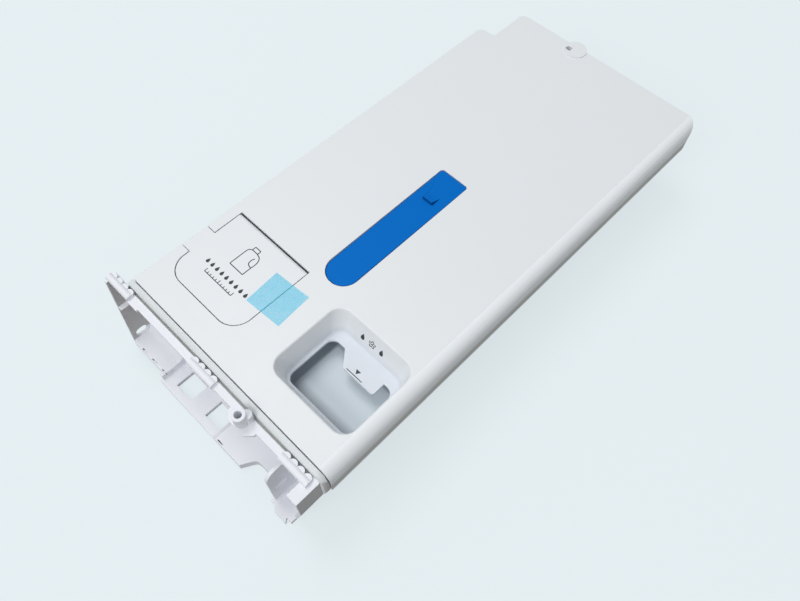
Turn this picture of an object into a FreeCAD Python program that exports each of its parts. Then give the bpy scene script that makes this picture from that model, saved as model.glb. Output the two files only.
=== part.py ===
import FreeCAD, Part
import math
import os
import Sketcher
from types import SimpleNamespace
from FreeCAD import Placement, Rotation, Vector

# Detergent dispenser drawer of a washing machine, in millimetres.
# Drawing axes: x from the left edge of the cover to the right, y from the front seam of the cover
# to the rear, z up from the top of the cover. Every sub-part is then placed so that the origin is
# the middle of the underside of the whole drawer.

SIZES = {
    # Cover shell
    "cover_width": 171.0,
    "cover_length": 349.6,
    "cover_skin": 2.5,
    "cover_wall": 2.2,
    "skirt_depth": 20.0,
    "roll_radius": 8.5,
    "rear_corner_radius": 9.0,
    "step_width": 13.0,
    "step_length": 35.0,
    "step_corner_radius": 5.0,
    "step_root_radius": 3.0,
    "tab_x": 66.0,
    "tab_radius": 8.5,
    "tab_reach": 4.5,
    "tab_rise": 0.8,
    "tab_depth": 6.0,
    "tab_window": 4.0,
    # Filler lid and its seat in the cover
    "lid_left": 8.0,
    "lid_width": 62.5,
    "lid_front": 18.1,
    "lid_length": 57.5,
    "lid_sheet": 2.0,
    "lid_front_radius": 13.0,
    "lid_rear_radius": 0.5,
    "seat_rear_radius": 2.0,
    "lid_gap": 0.5,
    "lid_sink": 0.1,
    "lid_seat_gap": 0.5,
    "lid_rear_gap": 1.0,
    "lid_tab_front": 35.4,
    "lid_tab_length": 19.0,
    "lid_tab_inset": 0.4,
    "finger_depth": 8.0,
    "finger_reach": 12.0,
    "barrel_radius": 2.1,
    "barrel_gap": 0.6,
    "hinge_pin_radius": 1.2,
    "hinge_pin_length": 2.0,
    "pin_clearance": 0.1,
    "pin_end_gap": 0.3,
    "seat_margin": 3.5,
    "seat_drop": 10.5,
    "filler_inset": 9.0,
    "filler_rear_inset": 11.0,
    "filler_radius": 8.0,
    "plug_depth": 5.0,
    "plug_wall": 1.6,
    "seal_height": 3.2,
    "seal_width": 1.6,
    "seal_gap": 0.4,
    # Tape over the edge of the lid
    "tape_length": 26.7,
    "tape_width": 25.1,
    "tape_thickness": 0.12,
    "tape_lift": 0.03,
    "tape_overlap": 12.5,
    "tape_y": 50.8,
    "tape_turn": 4.0,
    # Release lever and its trough
    "lever_left": 73.6,
    "lever_width": 21.6,
    "lever_front": 81.1,
    "lever_length": 110.5,
    "lever_sheet": 2.5,
    "lever_sink": 0.4,
    "lever_gap": 0.5,
    "lever_rear_radius": 2.0,
    "lever_pivot_inset": 4.0,
    "lever_pivot_depth": 2.4,
    "lever_pin_radius": 1.5,
    "lever_pin_length": 2.0,
    "catch_setback": 22.5,
    "catch_length": 8.0,
    "catch_width": 8.0,
    "catch_rise": 2.2,
    "trough_depth": 14.0,
    "lever_spring_setback": 40.0,
    "lever_spring_radius": 3.2,
    "lever_spring_wire": 0.4,
    "lever_spring_pitch": 2.4,
    # Softener funnel
    "funnel_right_margin": 9.5,
    "funnel_width": 62.0,
    "funnel_front": 19.1,
    "funnel_length": 56.0,
    "funnel_radius": 9.0,
    "funnel_depth": 16.0,
    "funnel_rim_radius": 1.2,
    "ledge_blend_radius": 2.0,
    "ledge_left_slope": 4.5,
    "ledge_right_slope": 3.0,
    "ledge_front_slope": 4.0,
    "ledge_rear_slope": 6.5,
    "ledge_radius": 7.5,
    "ledge_thickness": 2.0,
    "mouth_left_margin": 2.0,
    "mouth_right_margin": 1.5,
    "mouth_front_margin": 1.4,
    "mouth_rear_margin": 7.2,
    "mouth_radius": 5.5,
    "mouth_rear_radius": 5.5,
    "tongue_radius": 2.0,
    "tongue_reach": 9.6,
    "tongue_left_inset": 10.3,
    "tongue_right_inset": 8.0,
    "tongue_slant": 8.5,
    # Tank
    "flange_thickness": 2.0,
    "tank_wall": 2.2,
    "tank_inset": 6.0,
    "tank_right_inset": 11.0,
    "tank_rear_gap": 44.0,
    "tank_front_drop": 41.0,
    "sump_length": 44.0,
    "tank_corner_radius": 5.0,
    "tank_edge_radius": 4.5,
    "partition_gap": 1.5,
    "overall_drop": 68.0,
    # Basin under the softener funnel
    "basin_front": 23.0,
    "basin_length": 47.0,
    "basin_wall": 2.0,
    "basin_left_wall": 4.0,
    "basin_side_wall": 0.9,
    "basin_floor_drop": 30.0,
    "basin_floor_thickness": 3.0,
    "basin_radius": 7.0,
    "basin_blend_radius": 4.0,
    "basin_port_width": 22.0,
    "basin_port_height": 7.0,
    # Outlet valves
    "detergent_outlet_x": 52.0,
    "softener_outlet_offset": 33.0,
    "outlet_drop": 52.0,
    "outlet_fit": 0.05,
    "neck_radius": 8.0,
    "neck_proud": 1.0,
    "collar_radius": 11.0,
    "collar_thickness": 3.0,
    "washer_thickness": 1.5,
    "spigot_radius": 7.0,
    "spigot_length": 25.0,
    "spigot_chamfer": 1.2,
    "chamber_radius": 5.6,
    "seat_thickness": 4.0,
    "seat_bore_radius": 3.2,
    "poppet_radius": 5.2,
    "poppet_thickness": 3.0,
    "poppet_gap": 0.3,
    "stem_radius": 2.2,
    "stem_proud": 1.5,
    "valve_spring_radius": 4.2,
    "valve_spring_wire": 0.5,
    "valve_spring_pitch": 3.2,
    "spring_end_gap": 0.1,
    "strainer_radius": 9.5,
    "strainer_length": 14.0,
    "strainer_wall": 1.5,
    "strainer_collar_length": 6.0,
    "strainer_bore_radius": 3.6,
    "strainer_fit": 0.1,
    "strainer_slot": 2.4,
    # Level floats
    "float_pivot_setback": 43.6,
    "float_pivot_rise": 12.0,
    "float_arm_half": 7.5,
    "float_arm_height": 6.0,
    "float_reach": 38.0,
    "float_block_length": 26.0,
    "float_block_width": 20.0,
    "float_block_height": 12.0,
    "float_edge_radius": 2.5,
    "float_pin_radius": 1.5,
    "lug_gap": 0.5,
    "lug_thickness": 2.0,
    "lug_half_length": 5.0,
    "lug_rise": 4.0,
    "magnet_radius": 3.0,
    "magnet_height": 4.0,
    "magnet_fit": 0.05,
    # Front bracket
    "bead_depth": 4.4,
    "bead_radius": 2.4,
    "bracket_overhang": 14.0,
    "bracket_right_inset": 3.0,
    "rail_drop": 4.0,
    "rail_thickness": 2.0,
    "rail_reach": 10.4,
    "bracket_wall": 2.2,
    "left_foot_inset": 10.4,
    "right_foot_inset": 10.5,
    "right_straight_drop": 26.0,
    "floor_thickness": 3.4,
    "floor_reach": 24.4,
    "lip_reach": 27.0,
    "left_plate_top_reach": 12.4,
    "left_plate_foot_reach": 20.4,
    "left_plate_foot_radius": 6.0,
    "rib_drop": 26.0,
    "rib_width": 4.5,
    "rib_reach": 15.5,
    "slot_length": 8.6,
    "slot_height": 6.0,
    "left_slot_drop": 55.5,
    "left_slot_reach": 11.8,
    "platform_rise": 5.6,
    "left_platform_right": 31.0,
    "platform_reach": 20.2,
    "riser_reach": 22.4,
    "edge_slit_width": 0.8,
    "edge_slit_length": 4.6,
    "edge_slit_inset": 0.7,
    "edge_slit_first_x": 5.6,
    "edge_slit_spacing": 10.6,
    "hump_slit_x": 88.6,
    "platform_fillet": 5.5,
    "window_width": 15.0,
    "window_length": 13.0,
    "window_reach": 18.6,
    "window_first_x": 39.6,
    "window_spacing": 29.2,
    "right_platform_left": 87.0,
    "right_platform_rise": 3.6,
    "notch_left": 110.4,
    "notch_slant": 5.6,
    "notch_depth": 9.9,
    "notch_radius": 5.0,
    "right_plate_inset": 32.0,
    "right_plate_drop": 21.0,
    "right_plate_reach": 22.0,
    "right_plate_radius": 8.0,
    "right_slot_drop": 46.0,
    "right_slot_reach": 14.5,
    "shelf_width": 7.8,
    "shelf_reach": 20.6,
    "bar_radius": 2.5,
    "bar_reach": 8.9,
    "bar_rise": 0.5,
    "bar_length": 21.8,
    "middle_bar_x": 65.0,
    "right_bar_inset": 28.2,
    "lug_row_radius": 2.65,
    "lug_row_reach": 7.6,
    "lug_row_height": 2.1,
    "boss_x": 113.6,
    "boss_reach": 11.6,
    "boss_radius": 4.0,
    "boss_bore_radius": 2.25,
    "boss_height": 11.0,
    "boss_tab_half": 10.8,
    "boss_tab_reach": 16.0,
    "boss_tab_chamfer": 4.0,
    "boss_rib_offset": 1.6,
    "boss_rib_reach": 7.9,
    "boss_rib_radius": 3.0,
    "boss_rib_height": 7.5,
    "seam_gap": 0.7,
    "seam_depth": 3.5,
    "back_edge_drop": 17.0,
    "back_left_drop": 50.0,
    "rail_groove_width": 1.4,
    "rail_groove_depth": 1.4,
    "rail_step_x": 7.8,
    "rail_step_length": 8.8,
    "rail_step_reach": 11.6,
    "lip_corner": 6.1,
    "lip_notch_left": 151.6,
    "lip_notch_depth": 5.0,
    # Screws that hold the bracket
    "screw_drop": 31.0,
    "screw_radius": 1.5,
    "screw_head_radius": 3.4,
    "screw_head_height": 2.2,
    "screw_length": 9.0,
    "screw_clearance": 0.1,
    "screw_boss_radius": 4.0,
    "screw_left_inset": 18.0,
    "screw_right_inset": 21.0,
}
SCREW_COUNT = 4
WINDOW_COUNT = 2
LUGS_PER_BAR = 4
EDGE_SLITS = 3
STRAINER_SLOTS = 6
PLANE_ROLES = {"XY": "XY_Plane", "XZ": "XZ_Plane", "YZ": "YZ_Plane"}
QUARTER_TURN = math.pi / 2
NEAR = 0.01


class Dim:
    """A size that knows both its value and the expression that gives it in the document."""

    def __init__(self, value, text):
        self.value = value
        self.text = text

    def __add__(self, other):
        other = dim(other)
        return Dim(self.value + other.value, f"({self.text} + {other.text})")

    def __sub__(self, other):
        other = dim(other)
        return Dim(self.value - other.value, f"({self.text} - {other.text})")

    def __mul__(self, other):
        other = dim(other)
        return Dim(self.value * other.value, f"({self.text} * {other.text})")

    def __truediv__(self, other):
        other = dim(other)
        return Dim(self.value / other.value, f"({self.text} / {other.text})")

    def __neg__(self):
        return ZERO - self


def dim(number):
    """A plain number as a size."""
    return number if isinstance(number, Dim) else Dim(float(number), repr(float(number)))


ZERO = Dim(0.0, "0.0")

doc = FreeCAD.newDocument("DispenserDrawer")
sheet = doc.addObject("Spreadsheet::Sheet", "Sizes")
for row, (alias, number) in enumerate(SIZES.items(), start=1):
    sheet.set(f"A{row}", alias.replace("_", " "))
    sheet.set(f"B{row}", str(number))
    sheet.setAlias(f"B{row}", alias)
doc.recompute()
S = SimpleNamespace(**{alias: Dim(float(sheet.get(alias)), "Sizes." + alias) for alias in SIZES})

FRAME = (
    (S.bracket_overhang - S.cover_width) / 2,
    (S.lip_reach - S.cover_length - S.tab_reach) / 2,
    S.overall_drop,
)
SUBPARTS = []


# Sketches

def hold(sketch, kind, places, size):
    """One driving dimension of a sketch, tied to its size."""
    index = sketch.addConstraint(Sketcher.Constraint(kind, *places, size.value))
    sketch.setExpression(f"Constraints[{index}]", size.text)


def hold_point(sketch, geometry, end, x, y):
    """Both coordinates of a point, measured from the sketch origin."""
    hold(sketch, "DistanceX", (-1, 1, geometry, end), x)
    hold(sketch, "DistanceY", (-1, 1, geometry, end), y)


def polygon(*points):
    """Straight-sided outline through the points."""
    def draw(sketch):
        first = sketch.GeometryCount
        count = len(points)
        corners = [Vector(x.value, y.value, 0) for x, y in points]
        for i in range(count):
            sketch.addGeometry(Part.LineSegment(corners[i], corners[(i + 1) % count]), False)
        for i in range(count):
            following = first + (i + 1) % count
            sketch.addConstraint(Sketcher.Constraint("Coincident", first + i, 2, following, 1))
        for i, (x, y) in enumerate(points):
            hold_point(sketch, first + i, 1, x, y)
    return draw


def rectangle(x0, x1, y0, y1):
    """Rectangle between two x and two y values."""
    return polygon((x0, y0), (x1, y0), (x1, y1), (x0, y1))


def circle(x, y, radius):
    """Circle about a point."""
    def draw(sketch):
        ring = Part.Circle(Vector(x.value, y.value, 0), Vector(0, 0, 1), radius.value)
        index = sketch.addGeometry(ring, False)
        hold_point(sketch, index, 3, x, y)
        hold(sketch, "Radius", (index,), radius)
    return draw


def circles(points, radius):
    """Equal circles about several points."""
    def draw(sketch):
        for x, y in points:
            circle(x, y, radius)(sketch)
    return draw


def rounded_rectangle(x0, x1, y0, y1, low_radius, high_radius):
    """Rectangle with one corner radius along y0 and another along y1, sides first, then corners."""
    def draw(sketch):
        left, right, low, high = x0.value, x1.value, y0.value, y1.value
        a, b = low_radius.value, high_radius.value
        sides = (
            ((left + a, low), (right - a, low)),
            ((right, low + a), (right, high - b)),
            ((right - b, high), (left + b, high)),
            ((left, high - b), (left, low + a)),
        )
        for start, end in sides:
            sketch.addGeometry(Part.LineSegment(Vector(*start, 0), Vector(*end, 0)), False)
        centres = (
            (right - a, low + a, a, 3),
            (right - b, high - b, b, 0),
            (left + b, high - b, b, 1),
            (left + a, low + a, a, 2),
        )
        for x, y, radius, turn in centres:
            ring = Part.Circle(Vector(x, y, 0), Vector(0, 0, 1), radius)
            arc = Part.ArcOfCircle(ring, turn * QUARTER_TURN, (turn + 1) * QUARTER_TURN)
            sketch.addGeometry(arc, False)
        for i in range(4):
            sketch.addConstraint(Sketcher.Constraint("Tangent", i, 2, 4 + i, 1))
            sketch.addConstraint(Sketcher.Constraint("Tangent", 4 + i, 2, (i + 1) % 4, 1))
        sketch.addConstraint(Sketcher.Constraint("Horizontal", 0))
        sketch.addConstraint(Sketcher.Constraint("Vertical", 1))
        sketch.addConstraint(Sketcher.Constraint("Equal", 4, 7))
        sketch.addConstraint(Sketcher.Constraint("Equal", 5, 6))
        hold(sketch, "DistanceX", (-1, 1, 3, 1), x0)
        hold(sketch, "DistanceX", (-1, 1, 1, 1), x1)
        hold(sketch, "DistanceY", (-1, 1, 0, 1), y0)
        hold(sketch, "DistanceY", (-1, 1, 2, 1), y1)
        hold(sketch, "Radius", (4,), low_radius)
        hold(sketch, "Radius", (5,), high_radius)
    return draw


def corner_waste(x, y, radius):
    """What rounding takes off a corner whose solid lies towards lower x and lower y."""
    def draw(sketch):
        centre = Vector(x.value - radius.value, y.value - radius.value, 0)
        corner = Vector(x.value, y.value, 0)
        side_end = Vector(x.value, centre.y, 0)
        rear_end = Vector(centre.x, y.value, 0)
        ring = Part.Circle(centre, Vector(0, 0, 1), radius.value)
        sketch.addGeometry(Part.ArcOfCircle(ring, 0.0, QUARTER_TURN), False)
        sketch.addGeometry(Part.LineSegment(rear_end, corner), False)
        sketch.addGeometry(Part.LineSegment(corner, side_end), False)
        for first, second in ((0, 1), (1, 2), (2, 0)):
            sketch.addConstraint(Sketcher.Constraint("Coincident", first, 2, second, 1))
        sketch.addConstraint(Sketcher.Constraint("Horizontal", 0, 3, 0, 1))
        sketch.addConstraint(Sketcher.Constraint("Vertical", 0, 3, 0, 2))
        hold_point(sketch, 1, 2, x, y)
        hold_point(sketch, 0, 3, x - radius, y - radius)
        hold(sketch, "Radius", (0,), radius)
    return draw


# Bodies and features

def new_body(label):
    """Empty body for one sub-part."""
    body = doc.addObject("PartDesign::Body", label)
    body.Label = label
    return body


def sketch_on(body, name, plane, at, draw):
    """Sketch on one of the body's origin planes, moved to the coordinate at along that axis."""
    sketch = body.newObject("Sketcher::SketchObject", name + "Sketch")
    features = body.Origin.OriginFeatures
    support = next(f for f in features if f.Role == PLANE_ROLES[plane])
    sketch.AttachmentSupport = [(support, "")]
    sketch.MapMode = "FlatFace"
    offset = -at if plane == "XZ" else at
    sketch.AttachmentOffset = Placement(Vector(0, 0, offset.value), Rotation())
    sketch.setExpression("AttachmentOffset.Base.z", offset.text)
    draw(sketch)
    return sketch


def settle(body, feature, before, adds):
    """Recompute and make sure that the feature changed the solid the way it should."""
    body.Tip = feature
    doc.recompute()
    if feature.Shape.isNull() or not feature.Shape.isValid():
        raise RuntimeError(f"{body.Label}: {feature.Name} has no valid shape")
    change = feature.Shape.Volume - before
    if adds is not None and (change > 0) != adds:
        raise RuntimeError(f"{body.Label}: {feature.Name} changed the volume by {change:.4f}")
    return feature


def volume_of(body):
    """Volume of the body so far."""
    return 0.0 if body.Tip is None else body.Tip.Shape.Volume


def extrude(body, kind, name, plane, at, draw, length, up):
    """Pad or Pocket of a sketch, towards higher coordinates where up is true."""
    before = volume_of(body)
    sketch = sketch_on(body, name, plane, at, draw)
    feature = body.newObject("PartDesign::" + kind, name)
    feature.Profile = sketch
    feature.Length = length.value
    feature.setExpression("Length", length.text)
    along_normal = up != (plane == "XZ")
    feature.Reversed = along_normal if kind == "Pocket" else not along_normal
    return settle(body, feature, before, kind == "Pad")


def pad(body, name, plane, at, draw, length, up):
    """Material added from a sketch."""
    return extrude(body, "Pad", name, plane, at, draw, length, up)


def pocket(body, name, plane, at, draw, length, up):
    """Material taken away from a sketch."""
    return extrude(body, "Pocket", name, plane, at, draw, length, up)


def loft(body, kind, name, levels):
    """Straight loft between sketches at two heights."""
    before = volume_of(body)
    sketches = [
        sketch_on(body, f"{name}{i}", "XY", height, draw)
        for i, (height, draw) in enumerate(levels)
    ]
    doc.recompute()
    feature = body.newObject("PartDesign::" + kind, name)
    feature.Profile = sketches[0]
    feature.Sections = sketches[1:]
    feature.Ruled = True
    return settle(body, feature, before, kind == "AdditiveLoft")


def revolve(body, name, draw):
    """Full turn of a radius and height profile about the body's upright axis."""
    sketch = sketch_on(body, name, "XZ", ZERO, draw)
    feature = body.newObject("PartDesign::Revolution", name)
    feature.Profile = sketch
    feature.ReferenceAxis = (sketch, ["V_Axis"])
    feature.Angle = 360.0
    return settle(body, feature, 0.0, True)


def fillet(body, name, radius, *tests):
    """Fillet on the edges of the solid so far that pass any of the tests."""
    base = body.Tip
    edges = base.Shape.Edges
    names = [f"Edge{i}" for i, edge in enumerate(edges, start=1) if any(test(edge) for test in tests)]
    if not names:
        raise RuntimeError(f"{body.Label}: no edge for {name}")
    feature = body.newObject("PartDesign::Fillet", name)
    feature.Base = (base, names)
    feature.Radius = radius.value
    feature.setExpression("Radius", radius.text)
    return settle(body, feature, base.Shape.Volume, None)


def straight(axis, **place):
    """Test for a straight edge along an axis whose middle has the given coordinates."""
    def test(edge):
        ends = [vertex.Point for vertex in edge.Vertexes]
        if len(ends) < 2:
            return False
        run = abs(getattr(ends[1] - ends[0], axis))
        middle = edge.CenterOfMass
        along = run > NEAR and abs(edge.Length - run) < NEAR
        return along and all(abs(getattr(middle, k) - v.value) < NEAR for k, v in place.items())
    return test


def level(height, x0, x1, y0, y1):
    """Test for an edge that lies at one height, inside a rectangle of the plan."""
    def test(edge):
        box = edge.BoundBox
        flat = abs(box.ZMin - height.value) < NEAR and abs(box.ZMax - height.value) < NEAR
        inside_x = box.XMin > x0.value - NEAR and box.XMax < x1.value + NEAR
        inside_y = box.YMin > y0.value - NEAR and box.YMax < y1.value + NEAR
        return flat and inside_x and inside_y
    return test


def place(subpart, x=ZERO, y=ZERO, z=ZERO, turn=None):
    """Put a sub-part at a point of the drawing axes and enter it in the list of sub-parts."""
    base = [FRAME[0] + x, FRAME[1] + y, FRAME[2] + z]
    subpart.Placement = Placement(Vector(*[b.value for b in base]), turn or Rotation())
    for axis, coordinate in zip("xyz", base):
        subpart.setExpression(f"Placement.Base.{axis}", coordinate.text)
    SUBPARTS.append(subpart)


# Sizes that several pieces share

LID_RIGHT = S.lid_left + S.lid_width
LID_REAR = S.lid_front + S.lid_length
LID_TOP = -S.lid_sink
LID_UNDER = LID_TOP - S.lid_sheet
HINGE_Y = LID_REAR - S.barrel_radius
HINGE_Z = LID_TOP - S.barrel_radius
SEAT_LEFT = S.lid_left - S.lid_gap
SEAT_RIGHT = LID_RIGHT + S.lid_gap
SEAT_FRONT = S.lid_front - S.lid_gap
SEAT_REAR = LID_REAR + S.lid_rear_gap
SEAT_Z = LID_UNDER - S.lid_seat_gap
FILLER = (
    S.lid_left + S.filler_inset,
    LID_RIGHT - S.filler_inset,
    S.lid_front + S.filler_inset,
    LID_REAR - S.filler_rear_inset,
)
LEVER_RIGHT = S.lever_left + S.lever_width
LEVER_REAR = S.lever_front + S.lever_length
LEVER_MIDDLE = S.lever_left + S.lever_width / 2
LEVER_TOP = -S.lever_sink
LEVER_UNDER = LEVER_TOP - S.lever_sheet
PIVOT_Y = LEVER_REAR - S.lever_pivot_inset
PIVOT_Z = -S.lever_pivot_depth
TANK_REAR = S.cover_length - S.tank_rear_gap
TANK_RIGHT = S.cover_width - S.tank_right_inset
SUMP_FLOOR = -S.overall_drop + S.tank_wall
FLOAT_Y = TANK_REAR - S.float_pivot_setback
FLOAT_Z = SUMP_FLOOR + S.float_pivot_rise
OUTLET_Z = -S.outlet_drop
FUNNEL_RIGHT = S.cover_width - S.funnel_right_margin
FUNNEL_LEFT = FUNNEL_RIGHT - S.funnel_width
FUNNEL_REAR = S.funnel_front + S.funnel_length
PARTITION_X = FUNNEL_LEFT - S.partition_gap
PARTITION_LEFT = PARTITION_X - S.tank_wall / 2
PARTITION_RIGHT = PARTITION_X + S.tank_wall / 2
SCREW_SPACING = (S.cover_width - S.screw_left_inset - S.screw_right_inset) / (SCREW_COUNT - 1)
SCREW_XS = [S.screw_left_inset + SCREW_SPACING * i for i in range(SCREW_COUNT)]
OUTLETS = {"detergent": S.detergent_outlet_x, "softener": PARTITION_X + S.softener_outlet_offset}


def drawer_outline(inset):
    """Plan of the drawer with the step at its rear left corner, moved in by a wall."""
    left = inset
    right = S.cover_width - inset
    rear = S.cover_length - inset
    step_x = S.step_width + inset
    step_y = S.cover_length - S.step_length - inset
    return polygon((left, inset), (right, inset), (right, rear),
                   (step_x, rear), (step_x, step_y), (left, step_y))


def grown(x0, x1, y0, y1, by):
    """The four sides of a rectangle moved out by an amount."""
    return x0 - by, x1 + by, y0 - by, y1 + by


# Top cover

def cover_shell(cover):
    """Block with the rolled right edge, hollowed from below, with the stepped rear corner."""
    inner_right = S.cover_width - S.cover_wall
    inner_rear = S.cover_length - S.cover_wall
    rear_step = S.cover_length - S.step_length
    pad(cover, "Block", "XY", ZERO, drawer_outline(ZERO), S.skirt_depth, up=False)
    fillet(cover, "StepCorners", S.step_corner_radius, straight("z", x=ZERO, y=rear_step),
           straight("z", x=S.step_width, y=S.cover_length))
    fillet(cover, "StepRoot", S.step_root_radius, straight("z", x=S.step_width, y=rear_step))
    hollow = S.skirt_depth - S.cover_skin
    pocket(cover, "Hollow", "XY", -S.skirt_depth, drawer_outline(S.cover_wall), hollow, up=True)
    fillet(cover, "InnerRearCorner", S.rear_corner_radius - S.cover_wall,
           straight("z", x=inner_right, y=inner_rear))
    fillet(cover, "InnerRoll", S.roll_radius - S.cover_wall, straight("y", x=inner_right, z=-S.cover_skin))
    fillet(cover, "RightRoll", S.roll_radius, straight("y", x=S.cover_width, z=ZERO))
    waste = corner_waste(S.cover_width, S.cover_length, S.rear_corner_radius)
    pocket(cover, "RearCorner", "XY", ZERO, waste, S.skirt_depth, up=False)


def rear_tab(cover):
    """Round locating tab at the rear edge with its small window."""
    centre_y = S.cover_length + S.tab_reach - S.tab_radius
    pad(cover, "RearTab", "XY", S.tab_rise, circle(S.tab_x, centre_y, S.tab_radius), S.tab_depth, up=False)
    left = S.tab_x - S.tab_radius + S.tab_window / 2
    front = centre_y - S.tab_window
    window = rectangle(left, left + S.tab_window, front, front + S.tab_window)
    pocket(cover, "TabWindow", "XY", S.tab_rise, window, S.tab_depth, up=False)


def partition_rib(cover):
    """Rib that meets the wall between the two compartments."""
    rear = S.cover_length - S.cover_wall
    rib = rectangle(PARTITION_LEFT, PARTITION_RIGHT, S.cover_wall, rear)
    pad(cover, "PartitionRib", "XY", -S.skirt_depth, rib, S.skirt_depth - S.cover_skin, up=True)


def lid_seat(cover):
    """Thickened seat with the lid pocket, the hinge trough, the filler hole and the finger notch."""
    block = rectangle(ZERO, SEAT_RIGHT + S.seat_margin, SEAT_FRONT - S.seat_margin, SEAT_REAR + S.seat_margin)
    pad(cover, "SeatBlock", "XY", -S.seat_drop, block, S.seat_drop - S.cover_skin, up=True)
    outline = rounded_rectangle(SEAT_LEFT, SEAT_RIGHT, SEAT_FRONT, SEAT_REAR,
                                S.lid_front_radius + S.lid_gap, S.seat_rear_radius)
    pocket(cover, "SeatPocket", "XY", ZERO, outline, -SEAT_Z, up=False)
    trough = rectangle(SEAT_LEFT, SEAT_RIGHT, HINGE_Y - S.barrel_radius - S.barrel_gap, SEAT_REAR)
    trough_depth = S.barrel_radius - HINGE_Z + S.barrel_gap
    pocket(cover, "HingeTrough", "XY", ZERO, trough, trough_depth, up=False)
    filler = rounded_rectangle(*FILLER, S.filler_radius, S.filler_radius)
    pocket(cover, "FillerHole", "XY", ZERO, filler, S.seat_drop, up=False)
    notch_front = S.lid_tab_front - S.lid_gap
    notch_rear = S.lid_tab_front + S.lid_tab_length + S.lid_gap
    notch = rectangle(ZERO, S.finger_reach, notch_front, notch_rear)
    pocket(cover, "FingerNotch", "XY", ZERO, notch, S.finger_depth, up=False)
    hole = circle(HINGE_Y, HINGE_Z, S.hinge_pin_radius + S.pin_clearance)
    depth = S.hinge_pin_length + S.pin_end_gap
    length = SEAT_RIGHT - SEAT_LEFT + depth * 2
    pocket(cover, "HingeHoles", "YZ", SEAT_LEFT - depth, hole, length, up=True)


def lever_trough(cover):
    """Closed trough under the release lever, with the two pivot holes in its sides."""
    inner = grown(S.lever_left, LEVER_RIGHT, S.lever_front, LEVER_REAR, S.lever_gap)
    outer = grown(*inner, S.cover_wall)
    drop = S.trough_depth + S.cover_wall
    pad(cover, "TroughBlock", "XY", -drop, rectangle(*outer), drop - S.cover_skin, up=True)
    round_end = S.lever_width / 2 + S.lever_gap - NEAR
    outline = rounded_rectangle(*inner, round_end, S.lever_rear_radius + S.lever_gap)
    pocket(cover, "Trough", "XY", ZERO, outline, S.trough_depth, up=False)
    depth = S.lever_pin_length + S.pin_end_gap - S.lever_gap
    hole = circle(PIVOT_Y, PIVOT_Z, S.lever_pin_radius + S.pin_clearance)
    pocket(cover, "PivotHoles", "YZ", inner[0] - depth, hole, inner[1] - inner[0] + depth * 2, up=True)


def softener_funnel(cover):
    """Sloped funnel down to a ledge whose mouth leaves a tongue for the level mark."""
    top = (FUNNEL_LEFT, FUNNEL_RIGHT, S.funnel_front, FUNNEL_REAR)
    ledge = (
        FUNNEL_LEFT + S.ledge_left_slope,
        FUNNEL_RIGHT - S.ledge_right_slope,
        S.funnel_front + S.ledge_front_slope,
        FUNNEL_REAR - S.ledge_rear_slope,
    )
    wall = S.cover_wall
    outer_top = rounded_rectangle(*grown(*top, wall), S.funnel_radius + wall, S.funnel_radius + wall)
    outer_low = rounded_rectangle(*grown(*ledge, wall), S.ledge_radius + wall, S.ledge_radius + wall)
    underside = -S.funnel_depth - S.ledge_thickness
    loft(cover, "AdditiveLoft", "FunnelWall", [(-S.cover_skin, outer_top), (underside, outer_low)])
    inner_top = rounded_rectangle(*top, S.funnel_radius, S.funnel_radius)
    inner_low = rounded_rectangle(*ledge, S.ledge_radius, S.ledge_radius)
    loft(cover, "SubtractiveLoft", "FunnelBore", [(ZERO, inner_top), (-S.funnel_depth, inner_low)])
    fillet(cover, "LedgeBlend", S.ledge_blend_radius, level(-S.funnel_depth, *ledge))
    left = ledge[0] + S.mouth_left_margin
    far = ledge[1] - S.mouth_right_margin
    front = ledge[2] + S.mouth_front_margin
    back = ledge[3] - S.mouth_rear_margin
    tip = back - S.tongue_reach
    tongue_left = left + S.tongue_left_inset
    tongue_right = far - S.tongue_right_inset
    mouth = rounded_rectangle(left, far, front, back, S.mouth_radius, S.mouth_rear_radius)
    blend = S.ledge_blend_radius
    pocket(cover, "Mouth", "XY", -S.funnel_depth + blend, mouth, S.ledge_thickness + blend, up=False)
    tongue = polygon((tongue_left, back), (tongue_left + S.tongue_slant, tip),
                     (tongue_right, tip), (tongue_right, back))
    pad(cover, "LevelTongue", "XY", -S.funnel_depth, tongue, S.ledge_thickness, up=False)
    fillet(cover, "TongueCorners", S.tongue_radius, straight("z", x=tongue_left + S.tongue_slant, y=tip),
           straight("z", x=tongue_right, y=tip))
    fillet(cover, "FunnelRim", S.funnel_rim_radius, level(ZERO, *top))


def make_cover():
    """Top cover of the drawer."""
    cover = new_body("top_cover")
    cover_shell(cover)
    partition_rib(cover)
    lid_seat(cover)
    lever_trough(cover)
    softener_funnel(cover)
    rear_tab(cover)
    place(cover)


# Filler lid

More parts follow.
